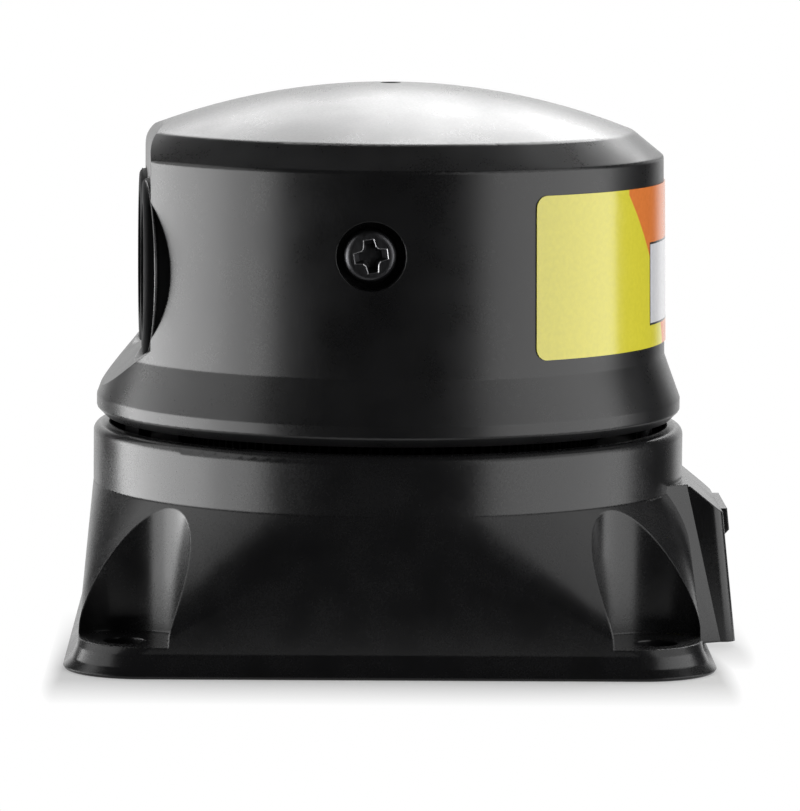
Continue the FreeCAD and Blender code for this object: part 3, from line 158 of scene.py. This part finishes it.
# Film on the head, in the head's own frame; bearings in degrees round the sweep axis
FILM_LOW = 23.9 * MM
FILM_HIGH = 35.4 * MM
FILM_YELLOW = (0.64, 0.58, 0.045)
FILM_ORANGE = (0.66, 0.185, 0.04)
FIELD_EDGES = (74.2, 54.4)
FIELD_BOW = 6.0
FIELD_SOFTNESS = 0.25
PANEL_BEARING = 94.0
PANEL_HALF_TURN = 29.6
PANEL_HEIGHT = 28.3 * MM
PANEL_HALF_HEIGHT = 3.2 * MM
PANEL_WHITE = (0.58, 0.58, 0.60)
LINE_BLACK = (0.02, 0.02, 0.02)
LINE_WIDTH = 0.16 * MM
TURN_PER_LENGTH = 2.65 / MM
INK_GRAIN = 0.35 * MM
INK_TONES = (0.96, 1.04)
INK_ROUGH = (0.14, 0.22)
FILM_WAVE = 2.5 * MM
FILM_DEPTH = 0.05 * MM
FILM_RELIEF = 0.05
FILM_SPECULAR = 0.7

# Socket block at the rear; its root facets' corners are in millimetres
BLOCK_HALF = 7.8 * MM
ROOT_CORNERS = ((7.75, 23.1, 12.7), (7.75, 25.9, 0.4), (9.2, 23.0, 0.4), (9.2, 20.4, 12.7), (6.8, 20.4, 12.7),
                (6.8, 23.0, 0.4))

# The head rests one gear tooth round from straight ahead
GEAR_TEETH = 130
HEAD_TURN = 360 / GEAR_TEETH

# Side screws of the head, in the head's own frame
SCREW_SEAT = 19.7 * MM
SCREW_Y = -2.7 * MM
SCREW_Z = 31.4 * MM
SCREW_TURN = 8.5
SCREW_SHANK = 1.0 * MM
SCREW_LENGTH = 7.45 * MM
SCREW_HEAD = 2.05 * MM
SCREW_HEIGHT = 1.2 * MM
SCREW_RIM = 0.6 * MM
SCREW_RIM_STEPS = 8
SCREW_SIDES = 72
RECESS_REACH = 1.24 * MM
RECESS_HALF = 0.36 * MM
RECESS_WAIST = 0.52 * MM
RECESS_EASING = 0.12 * MM
RECESS_DEPTH = 0.8 * MM
RECESS_TAPER = 0.7
# Width of the band of lighter metal round the recess's edges, a painted highlight
RECESS_HIGHLIGHT_BAND = 0.05 * MM

# Lens barrels and their rims, in the head's own frame
BARREL_X = 5.4 * MM
BARREL_Z = 29.15 * MM
BARREL_RADIUS = 6.9 * MM
RIM_FRONT = -19.35 * MM
RIM_SLANT = 0.8 * MM
RIM_REACH = 80
RIM_BEAD = 0.12 * MM
RIM_TIP = 0.3
RIM_STEPS = 64
RIM_SIDES = 12

view_turn = math.radians(VIEW_AZIMUTH)
toward_camera = Vector((math.sin(view_turn), -math.cos(view_turn), 0))
image_right = Vector((math.cos(view_turn), math.sin(view_turn), 0))
head_at_rest = Matrix.Rotation(math.radians(HEAD_TURN), 4, "Z")


def aimed(place, target, roll=0.0):
    """Matrix that looks from one point to another, with its own Y kept upright."""
    back = (place - target).normalized()
    right = Vector((0, 0, 1)).cross(back).normalized()
    up = back.cross(right)
    turn = Matrix((right, up, back)).transposed().to_4x4()
    return Matrix.Translation(place) @ turn @ Matrix.Rotation(math.radians(roll), 4, "Z")


def add_camera():
    """The scene's camera, where the photograph was taken from."""
    data = bpy.data.cameras.new("camera")
    data.lens = CAMERA_LENS
    data.sensor_width = SENSOR_WIDTH
    data.clip_start = CLIP_START
    camera = bpy.data.objects.new("camera", data)
    scene.collection.objects.link(camera)
    side = image_right * TARGET_SIDE
    place = toward_camera * CAMERA_DISTANCE + side + Vector((0, 0, CAMERA_HEIGHT))
    camera.matrix_world = aimed(place, side + Vector((0, 0, TARGET_HEIGHT)), CAMERA_ROLL)
    scene.camera = camera


def add_lamp(name, width, height, radiance, place, target):
    """Rectangular lamp of an even radiance, unseen by the camera."""
    data = bpy.data.lights.new(name, "AREA")
    data.shape = "RECTANGLE"
    data.size = width
    data.size_y = height
    data.energy = radiance * math.pi * width * height
    lamp = bpy.data.objects.new(name, data)
    scene.collection.objects.link(lamp)
    lamp.matrix_world = aimed(place, target)
    lamp.visible_camera = False
    return lamp


def toward(bearing):
    """Level direction at a bearing, counted from the camera towards image right."""
    turn = math.radians(bearing)
    return toward_camera * math.cos(turn) + image_right * math.sin(turn)


def add_upright_box(name, bearings, elevations, radiance, matt):
    """Upright softbox that fills a range of bearings and elevations, seen from the object.

    Where matt is given, gloss shows the box at its radiance and matt surfaces get that lower level.
    """
    first, last = bearings
    low, high = (LAMP_DISTANCE * math.tan(math.radians(angle)) for angle in elevations)
    width = 2 * LAMP_DISTANCE * math.tan(math.radians(last - first) / 2)
    middle = LAMP_CENTRE + Vector((0, 0, (low + high) / 2))
    place = middle + LAMP_DISTANCE * toward((first + last) / 2)
    box = add_lamp(name, width, high - low, radiance, place, middle)
    if matt is not None:
        box.visible_diffuse = False
        fill = add_lamp(f"{name}_fill", width, high - low, matt, place, middle)
        fill.visible_glossy = False
        fill.visible_transmission = False


def add_leaning_box(name, bearing, half_width, radiance):
    """Softbox that leans over the object from behind."""
    rise = math.radians(LEANING_ELEVATION)
    direction = toward(bearing) * math.cos(rise) + Vector((0, 0, math.sin(rise)))
    width, height = (2 * LAMP_DISTANCE * math.tan(math.radians(half))
                     for half in (half_width, LEANING_HALF_HEIGHT))
    add_lamp(name, width, height, radiance, LAMP_CENTRE + LAMP_DISTANCE * direction, LAMP_CENTRE)


class Tree:
    """Shader tree of a material or of the world, with short calls that add and join its nodes."""

    def __init__(self, holder):
        holder.use_nodes = True
        self.tree = holder.node_tree
        self.tree.nodes.clear()

    def feed(self, target, value):
        """Give an input a constant, or join another node's output to it."""
        if isinstance(value, bpy.types.NodeSocket):
            self.tree.links.new(value, target)
        else:
            target.default_value = value

    def add(self, kind, inputs=(), **settings):
        """New node: settings are its attributes, inputs are pairs of a socket's name or place and a value."""
        item = self.tree.nodes.new("ShaderNode" + kind)
        for name, value in settings.items():
            setattr(item, name, value)
        for key, value in inputs:
            self.feed(item.inputs[key], value)
        return item

    def math(self, operation, first, second=0.0):
        """Result of one step of arithmetic."""
        return self.add("Math", [(0, first), (1, second)], operation=operation).outputs[0]

    def vector(self, operation, first, second=(0, 0, 0), output="Vector"):
        """Result of one step of vector arithmetic."""
        return self.add("VectorMath", [(0, first), (1, second)], operation=operation).outputs[output]

    def largest(self, first, *others):
        """The greatest of several values."""
        for other in others:
            first = self.math("MAXIMUM", first, other)
        return first

    def spread(self, value, low, high, start=0.0, end=1.0, kind="LINEAR"):
        """Map a value from one range to another, held at its ends."""
        inputs = [("Value", value), ("From Min", low), ("From Max", high), ("To Min", start), ("To Max", end)]
        return self.add("MapRange", inputs, interpolation_type=kind).outputs["Result"]

    def place(self):
        """Position in the part's own frame at rest."""
        return self.add("TexCoord").outputs["Object"]

    def level(self):
        """Position with its height left out."""
        return self.vector("MULTIPLY", self.place(), (1, 1, 0))

    def axes(self, value):
        """The X, Y and Z of a vector."""
        return self.add("SeparateXYZ", [(0, value)]).outputs

    def noise(self, size, detail=2.0, stretch=None):
        """Soft noise with features of a size, made longer along an axis where asked."""
        spot = self.place()
        if stretch:
            spot = self.vector("MULTIPLY", spot, tuple(1 / part for part in stretch))
        inputs = [("Vector", spot), ("Scale", 1 / size), ("Detail", detail)]
        return self.add("TexNoise", inputs).outputs["Fac"]

    def vary(self, noise, low, high):
        """Value that follows a soft noise between two ends."""
        return self.spread(noise, *NOISE_SPAN, low, high)

    def tone(self, colour, factor):
        """A colour made darker or lighter by a factor."""
        return self.add("VectorMath", [(0, colour), ("Scale", factor)], operation="SCALE").outputs["Vector"]

    def blend(self, share, first, second):
        """Mix of two colours."""
        item = self.add("Mix", [("Factor", share)], data_type="RGBA")
        for spot, colour in zip(MIX_COLOURS, (first, second)):
            self.feed(item.inputs[spot], colour if isinstance(colour, bpy.types.NodeSocket) else (*colour, 1))
        return item.outputs[MIX_RESULT]

    def mix(self, share, first, second):
        """Mix of two shaders."""
        return self.add("MixShader", [("Fac", share), (1, first), (2, second)]).outputs[0]

    def relief(self, height, strength, depth, edge=0.0):
        """Fine relief, on corners that are rounded to a radius where asked."""
        item = self.add("Bump", [("Height", height), ("Strength", strength), ("Distance", depth)])
        if edge:
            rounded = self.add("Bevel", [("Radius", edge)], samples=EDGE_SAMPLES)
            self.feed(item.inputs["Normal"], rounded.outputs["Normal"])
        return item.outputs["Normal"]

    def surface(self, **inputs):
        """Principled surface; an input's name has its spaces as underscores."""
        pairs = [(name.replace("_", " "), value) for name, value in inputs.items()]
        shader = self.add("BsdfPrincipled", pairs)
        self.add("OutputMaterial", [("Surface", shader.outputs["BSDF"])])


def new_tree(name):
    """New material and its empty shader tree."""
    material = bpy.data.materials.new(name)
    return material, Tree(material)


def world_light():
    """White for the camera, through glass and where the backdrop is mirrored, dim elsewhere."""
    scene.world = bpy.data.worlds.new("world")
    tree = Tree(scene.world)
    rays = tree.add("LightPath").outputs
    direction = tree.add("TexCoord").outputs["Generated"]
    facing = tree.vector("DOT_PRODUCT", direction, -toward_camera, output="Value")
    backdrop = tree.spread(facing, BACKDROP_EDGE, BACKDROP_FULL, kind="SMOOTHSTEP")
    mirrored = tree.math("MULTIPLY", rays["Is Glossy Ray"], backdrop)
    share = tree.largest(rays["Is Camera Ray"], rays["Is Transmission Ray"], mirrored)
    white = tree.add("Background", [("Color", WHITE), ("Strength", 1.0)]).outputs[0]
    dim = tree.add("Background", [("Color", WHITE), ("Strength", ROOM_LIGHT)]).outputs[0]
    tree.add("OutputWorld", [("Surface", tree.mix(share, dim, white))])


def add_floor():
    """Small pale disc that glows white and fades into white, with a painted shadow close by, more in front.

    Near the foot and socket block, and under the foot, the glow gives way by position to paper lit by the
    lamps: where the shadow reaches is painted, and its darkness is the paper's real shade. From below it is
    clear, so that the object's underside shows.
    """
    bpy.ops.mesh.primitive_circle_add(vertices=FLOOR_SIDES, radius=FLOOR_RADIUS, fill_type="NGON",
                                      location=(0, 0, -FLOOR_DROP))
    floor = bpy.context.object
    floor.name = "floor"
    material, tree = new_tree("floor")
    fibre = tree.vary(tree.noise(FIBRE_SIZE), *FIBRE_TONES)
    paper = tree.add("BsdfDiffuse", [("Color", tree.tone(PAPER_GREY, fibre))]).outputs[0]
    glow = tree.add("Emission", [("Color", WHITE), ("Strength", 1.0)]).outputs[0]
    level = tree.level()

    def outside(half_width, half_length, middle=0.0):
        """How far a spot lies outside a rectangle on the long axis, counted in widths of the fade."""
        gap = tree.vector("ABSOLUTE", tree.vector("SUBTRACT", level, (0, middle, 0)))
        gap = tree.vector("SUBTRACT", gap, (half_width, half_length, 0))
        gap = tree.vector("MAXIMUM", gap, (0, 0, 0))
        gap = tree.vector("DIVIDE", gap, PAINTED_SHADOW_FADES)
        return tree.vector("LENGTH", gap, output="Value")

    foot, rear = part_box("base_housing")[1][:2]
    # Painted shadow: by position near the foot and socket block, more towards the front and everywhere under
    # the foot, the lit paper shows in place of the white glow
    reach = tree.math("MINIMUM", outside(foot, foot), outside(BLOCK_HALF, rear / 2, rear / 2))
    front = tree.spread(tree.axes(tree.place())["X"], *PAINTED_SHADOW_FRONT)
    painted_shade_under_foot = tree.spread(outside(foot - FOOT_MARGIN, foot - FOOT_MARGIN), 0.0, FOOT_FADE, 1.0, 0.0)
    near = tree.spread(reach, 0.0, 1.0, 1 - PAINTED_SHADOW_WHITE, 0.0)
    painted_shadow = tree.math("MULTIPLY", near, tree.largest(front, painted_shade_under_foot))
    rays = tree.add("LightPath").outputs
    seen = tree.largest(rays["Is Camera Ray"], rays["Is Transmission Ray"], rays["Is Glossy Ray"])
    white = tree.math("MULTIPLY", seen, tree.math("SUBTRACT", 1.0, painted_shadow))
    upper = tree.mix(white, paper, glow)
    lower = tree.add("BsdfTransparent").outputs[0]
    below = tree.add("NewGeometry").outputs["Backfacing"]
    tree.add("OutputMaterial", [("Surface", tree.mix(below, upper, lower))])
    floor.data.materials.append(material)


def moulded(name, colour, rough, grain=0.22 * MM, bump=0.05, specular=0.5, tint=0.2, edge=0.0,
            matt_inside=0.0):
    """Moulded plastic: a fine spark-eroded grain, with colour and gloss that drift a little over the surface.

    Its edges can be rounded to a radius, and what lies inside a radius round the sweep axis can be left matt.
    """
    material, tree = new_tree(name)
    fine = tree.noise(grain, detail=3.0)
    broad = tree.noise(DRIFT_SCALE * grain)
    shade = tree.vary(broad, 1 - tint, 1 + tint)
    speckle = tree.vary(fine, -GLOSS_DRIFT / 2, GLOSS_DRIFT / 2)
    drift = tree.vary(broad, rough - GLOSS_DRIFT / 2, rough + GLOSS_DRIFT / 2)
    gloss = tree.math("ADD", drift, speckle)
    if matt_inside:
        reach = tree.vector("LENGTH", tree.level(), output="Value")
        inside = tree.math("LESS_THAN", reach, matt_inside)
        gloss = tree.largest(gloss, tree.math("MULTIPLY", inside, BOWL_ROUGH))
    tree.surface(Base_Color=tree.tone(colour, shade), Roughness=gloss, IOR=PLASTIC_IOR,
                 Specular_IOR_Level=specular, Normal=tree.relief(fine, bump, GRAIN_DEPTH, edge))
    return material


def metal(name, colour, rough, stretch=(1, 1, 12), bump=0.08, spread=0.08):
    """Worked metal: fine tool lines in one direction, with duller and brighter patches."""
    material, tree = new_tree(name)
    lines = tree.noise(TOOL_LINE, stretch=stretch)
    shade = tree.vary(tree.noise(PATCH_SIZE), 1 - PATCH_TINT, 1 + PATCH_TINT)
    gloss = tree.vary(lines, rough - spread, rough + spread)
    tree.surface(Base_Color=tree.tone(colour, shade), Metallic=1.0, Roughness=gloss,
                 Normal=tree.relief(lines, bump, TOOL_DEPTH))
    return material


def circuit_board(name, across, along, through):
    """Solder mask over copper tracks, with tinned pads and a bare edge; the last axis goes through it."""
    material, tree = new_tree(name)
    spot = tree.axes(tree.place())
    flat = tree.add("CombineXYZ", [(0, spot[across]), (1, spot[along])]).outputs[0]
    bricks = [("Vector", flat), ("Scale", 1.0), ("Brick Width", TRACK_RUN), ("Row Height", TRACK_PITCH),
              ("Mortar Size", TRACK_WIDTH), ("Mortar Smooth", TRACK_SOFTNESS)]
    tracks = tree.add("TexBrick", bricks).outputs["Fac"]
    cells = tree.add("TexVoronoi", [("Vector", flat), ("Scale", 1 / PAD_PITCH), ("Randomness", PAD_SCATTER)])
    pad = tree.spread(cells.outputs["Distance"], *PAD_EDGE, 1.0, 0.0)
    facing = tree.axes(tree.add("NewGeometry").outputs["Normal"])[through]
    face = tree.math("GREATER_THAN", tree.math("ABSOLUTE", facing), FACE_LIMIT)
    weave = tree.vary(tree.noise(WEAVE_SIZE), *WEAVE_TONES)
    mask = tree.blend(tracks, tree.tone(MASK_GREEN, weave), TRACK_GREEN)
    printed = tree.blend(pad, mask, PAD_TIN)
    skin = tree.blend(face, tree.tone(BARE_EDGE, weave), printed)
    tinned = tree.math("MULTIPLY", pad, face)
    height = tree.math("ADD", tracks, pad)
    tree.surface(Base_Color=skin, Metallic=tinned, Roughness=tree.spread(tinned, 0, 1, MASK_ROUGH, TIN_ROUGH),
                 Normal=tree.relief(height, TRACK_RELIEF, TRACK_DEPTH))
    return material


def coated_glass(name):
    """Lens glass, faintly tinted, with a thin coating and a trace of dust."""
    material, tree = new_tree(name)
    dust = tree.spread(tree.noise(DUST_SIZE, detail=4.0), *DUST_SPAN, *DUST_ROUGH)
    shade = tree.vary(tree.noise(GLASS_PATCH), *GLASS_TONES)
    tree.surface(Base_Color=tree.tone(GLASS_TINT, shade), Roughness=dust, IOR=GLASS_IOR,
                 Transmission_Weight=GLASS_CLEARNESS, Thin_Film_Thickness=COATING_THICKNESS,
                 Thin_Film_IOR=COATING_IOR)
    return material


def printed_film(name):
    """Glossy film with plain fields: yellow, orange with a curved edge, and an outlined white panel."""
    material, tree = new_tree(name)
    spot = tree.axes(tree.place())
    turn = tree.math("MULTIPLY", tree.math("ARCTAN2", spot["Y"], spot["X"]), 180 / math.pi)
    bearing = tree.math("SUBTRACT", turn, HEAD_TURN)
    rise = tree.spread(spot["Z"], FILM_LOW, FILM_HIGH)
    fall = tree.math("SUBTRACT", 1.0, rise)
    bow = tree.math("MULTIPLY", tree.math("MULTIPLY", rise, fall), FIELD_BOW)
    edge = tree.math("ADD", tree.spread(rise, 0, 1, *FIELD_EDGES), bow)
    orange = tree.spread(tree.math("SUBTRACT", bearing, edge), -FIELD_SOFTNESS, FIELD_SOFTNESS)
    grain = tree.noise(INK_GRAIN, detail=3.0)
    shade = tree.vary(grain, *INK_TONES)

    def inside(margin):
        """One within the panel, made smaller all round by a margin."""
        aside = tree.math("ABSOLUTE", tree.math("SUBTRACT", bearing, PANEL_BEARING))
        above = tree.math("ABSOLUTE", tree.math("SUBTRACT", spot["Z"], PANEL_HEIGHT))
        wide = tree.math("LESS_THAN", aside, PANEL_HALF_TURN - margin * TURN_PER_LENGTH)
        tall = tree.math("LESS_THAN", above, PANEL_HALF_HEIGHT - margin)
        return tree.math("MULTIPLY", wide, tall)

    ink = tree.blend(orange, tree.tone(FILM_YELLOW, shade), tree.tone(FILM_ORANGE, shade))
    ink = tree.blend(inside(0.0), ink, LINE_BLACK)
    ink = tree.blend(inside(LINE_WIDTH), ink, tree.tone(PANEL_WHITE, shade))
    tree.surface(Base_Color=ink, Roughness=tree.vary(grain, *INK_ROUGH), IOR=PLASTIC_IOR,
                 Specular_IOR_Level=FILM_SPECULAR,
                 Normal=tree.relief(tree.noise(FILM_WAVE), FILM_RELIEF, FILM_DEPTH))
    return material


def dress(material, *names):
    """Give CAD nodes a material in place of their own."""
    for name in names:
        slots = nodes[name].data.materials
        slots.clear()
        slots.append(material)


def built(name, mesh, *materials):
    """New object from a mesh, with its faces turned outwards."""
    bmesh.ops.recalc_face_normals(mesh, faces=mesh.faces)
    data = bpy.data.meshes.new(name)
    mesh.to_mesh(data)
    mesh.free()
    for material in materials:
        data.materials.append(material)
    piece = bpy.data.objects.new(name, data)
    scene.collection.objects.link(piece)
    return piece


def turned_points(radius, count):
    """Points of a circle."""
    turns = [2 * math.pi * index / count for index in range(count)]
    return [(radius * math.cos(turn), radius * math.sin(turn)) for turn in turns]


def cross_points(taper=1.0, grow=0.0):
    """Outline of the cross recess: four arms that widen inwards to rounded corners."""
    reach, half, waist = (size * taper + grow for size in (RECESS_REACH, RECESS_HALF, RECESS_WAIST))
    inner = waist - RECESS_EASING / 2
    outer = waist + RECESS_EASING
    points = []
    for turn in range(4):
        quarter = Matrix.Rotation(math.radians(90 * turn), 2)
        for spot in ((reach, -half), (reach, half), (outer, inner), (inner, outer)):
            points.append(tuple(quarter @ Vector(spot)))
    return points


def add_screw(mesh, place):
    """Pan head screw whose cross recess has a band of lighter metal round its edges, a painted highlight,
    added to a mesh at a place.
    """

    def ring(points, height):
        """Loop of corners at a height over the screw's seat."""
        return [mesh.verts.new(place @ Vector((x, y, height))) for x, y in points]

    def round_ring(radius, height):
        """Round loop of corners at a height over the screw's seat."""
        return ring(turned_points(radius, SCREW_SIDES), height)

    def wall(lower, upper, painted_highlight=False, smooth=False):
        """Faces from one loop to the next."""
        for index, corner in enumerate(lower):
            following = (index + 1) % len(lower)
            face = mesh.faces.new((corner, lower[following], upper[following], upper[index]))
            face.material_index = int(painted_highlight)
            face.smooth = smooth

    def border(loop):
        """Edges of a loop."""
        return [mesh.edges.get((corner, loop[index - 1])) for index, corner in enumerate(loop)]

    shank = [round_ring(SCREW_SHANK, height) for height in (-SCREW_LENGTH, 0.0)]
    steps = [math.radians(90 * step / SCREW_RIM_STEPS) for step in range(SCREW_RIM_STEPS + 1)]
    rim = [round_ring(SCREW_HEAD - SCREW_RIM * (1 - math.cos(turn)),
                      SCREW_HEIGHT - SCREW_RIM * (1 - math.sin(turn))) for turn in steps]
    seat = round_ring(SCREW_HEAD, 0.0)
    edge = ring(cross_points(grow=RECESS_HIGHLIGHT_BAND), SCREW_HEIGHT)
    lip = ring(cross_points(), SCREW_HEIGHT - RECESS_HIGHLIGHT_BAND)
    sole = ring(cross_points(RECESS_TAPER), SCREW_HEIGHT - RECESS_DEPTH)
    wall(*shank)
    wall(shank[1], seat)
    wall(seat, rim[0])
    for lower, upper in zip(rim, rim[1:]):
        wall(lower, upper, smooth=True)
    # The band round the recess's edges takes the lighter metal, a painted highlight
    wall(lip, edge, painted_highlight=True)
    wall(sole, lip)
    mesh.faces.new(shank[0])
    mesh.faces.new(sole)
    bmesh.ops.triangle_fill(mesh, use_beauty=True, edges=border(rim[-1]) + border(edge))


def add_shell_screws():
    """The two screws in the sides of the head, in place of their plain solids."""
    mesh = bmesh.new()
    spin = Matrix.Rotation(math.radians(SCREW_TURN), 4, "Z")
    for side in (1, -1):
        # A screw's own Z turns to point out of that side
        axes = Matrix(((0, 0, side), (side, 0, 0), (0, 1, 0))).to_4x4()
        seat = Matrix.Translation((side * SCREW_SEAT, SCREW_Y, SCREW_Z))
        add_screw(mesh, head_at_rest @ seat @ axes @ spin)
    black = metal("screw_black", colour=(0.09, 0.09, 0.095), rough=0.38, bump=0.05)
    # Lighter metal for the recess's edges: a painted highlight
    painted_highlight = metal("screw_painted_highlight", colour=(0.36, 0.36, 0.37), rough=0.4, bump=0.05)
    screws = built("side_screws", mesh, black, painted_highlight)
    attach(screws, "head")
    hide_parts("shell_screws")


def add_barrel_rims():
    """Fine raised rim round the outer side of each lens barrel, its gloss real and its grey, lighter than the
    housings' black, a painted highlight.
    """
    mesh = bmesh.new()
    for side in (1, -1):
        loops = []
        for step in range(RIM_STEPS + 1):
            turn = math.radians(RIM_REACH) * (2 * step / RIM_STEPS - 1)
            bead = RIM_BEAD * (RIM_TIP + (1 - RIM_TIP) * math.cos(turn))
            outward = Vector((side * math.cos(turn), 0, math.sin(turn)))
            middle = Vector((side * BARREL_X, RIM_FRONT + RIM_SLANT * math.cos(turn), BARREL_Z))
            spot = middle + outward * BARREL_RADIUS
            loops.append([mesh.verts.new(head_at_rest @ (spot + outward * out + Vector((0, along, 0))))
                          for out, along in turned_points(bead, RIM_SIDES)])
        for near, far in zip(loops, loops[1:]):
            for index in range(RIM_SIDES):
                mesh.faces.new((near[index - 1], near[index], far[index], far[index - 1])).smooth = True
        mesh.faces.new(loops[0])
        mesh.faces.new(loops[-1])
    # A grey lighter than the housings' black: a painted highlight along the rim, on top of the real gloss of
    # its bead
    black = moulded("rim_grey_painted_highlight", colour=(0.07, 0.07, 0.072), rough=0.28, grain=0.1 * MM, specular=1.0)
    rims = built("barrel_rims", mesh, black)
    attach(rims, "head")


def add_root_facets():
    """Sloping facet on each side of the socket block, where it grows out of the flare."""
    mesh = bmesh.new()
    for side in (1, -1):
        corners = [mesh.verts.new(Vector((side * x, y, z)) * MM) for x, y, z in ROOT_CORNERS]
        bmesh.ops.convex_hull(mesh, input=corners)
    facets = built("block_root_facets", mesh, nodes["base_housing"].data.materials[0])
    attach(facets, "base")


add_camera()
for box in UPRIGHT_BOXES:
    add_upright_box(*box)
for box in LEANING_BOXES:
    add_leaning_box(*box)
world_light()
add_floor()

# Plastics
dress(moulded("shell_black", colour=HOUSING_BLACK, rough=0.30, specular=0.4, edge=0.14 * MM), "head_shell")
dress(moulded("base_black", colour=HOUSING_BLACK, rough=0.26, specular=0.4, edge=0.18 * MM,
              matt_inside=BOWL_RADIUS), "base_housing", "base_plate")
dress(moulded("barrel_black", colour=(0.005, 0.005, 0.0055), rough=0.6, grain=0.12 * MM, specular=0.08),
      "optic_block")
dress(moulded("gear_black", colour=(0.004, 0.004, 0.0045), rough=0.7, grain=0.15 * MM, specular=0.04),
      "ring_gear", "turntable")
dress(moulded("chip_black", colour=(0.025, 0.025, 0.026), rough=0.5, grain=0.1 * MM), "encoder_sensor")
dress(moulded("lead_black", colour=(0.02, 0.02, 0.02), rough=0.55, grain=0.15 * MM), "wire_harness")
dress(moulded("socket_plastic", colour=(0.72, 0.69, 0.60), rough=0.45, grain=0.12 * MM, tint=0.05),
      "power_socket", "base_plug", "head_plug")
dress(moulded("magnet_grey", colour=(0.16, 0.16, 0.175), rough=0.5, grain=0.1 * MM, bump=0.1),
      "encoder_magnet")

# Metals
dress(metal("ring_black", colour=(0.02, 0.02, 0.022), rough=0.42), "transmit_lens_ring", "receive_lens_ring")
dress(metal("turned_steel", colour=(0.58, 0.58, 0.60), rough=0.3),
      "base_screws", "motor", "motor_screws", "stop_pin", "motor_shaft", "retaining_clip", "board_screws",
      "laser_diode", "photo_detector", "optic_screws")
dress(metal("ground_steel", colour=(0.62, 0.62, 0.64), rough=0.2, spread=0.05),
      "bearing_outer_race", "bearing_inner_race", "bearing_balls")
dress(metal("plated_shell", colour=(0.66, 0.66, 0.67), rough=0.28, stretch=(12, 1, 1)), "data_socket")
dress(metal("brass", colour=(0.72, 0.54, 0.24), rough=0.3), "power_pins", "drive_pinion", "bearing_cage")

# Boards, glass and film
dress(circuit_board("flat_board", "X", "Y", "Z"), "main_board", "head_board")
dress(circuit_board("upright_board", "X", "Z", "Y"), "port_board", "laser_board", "detector_board")
dress(coated_glass("lens_glass"), "transmit_lens", "receive_lens")
dress(printed_film("label_film"), "head_label")

add_shell_screws()
add_barrel_rims()
add_root_facets()
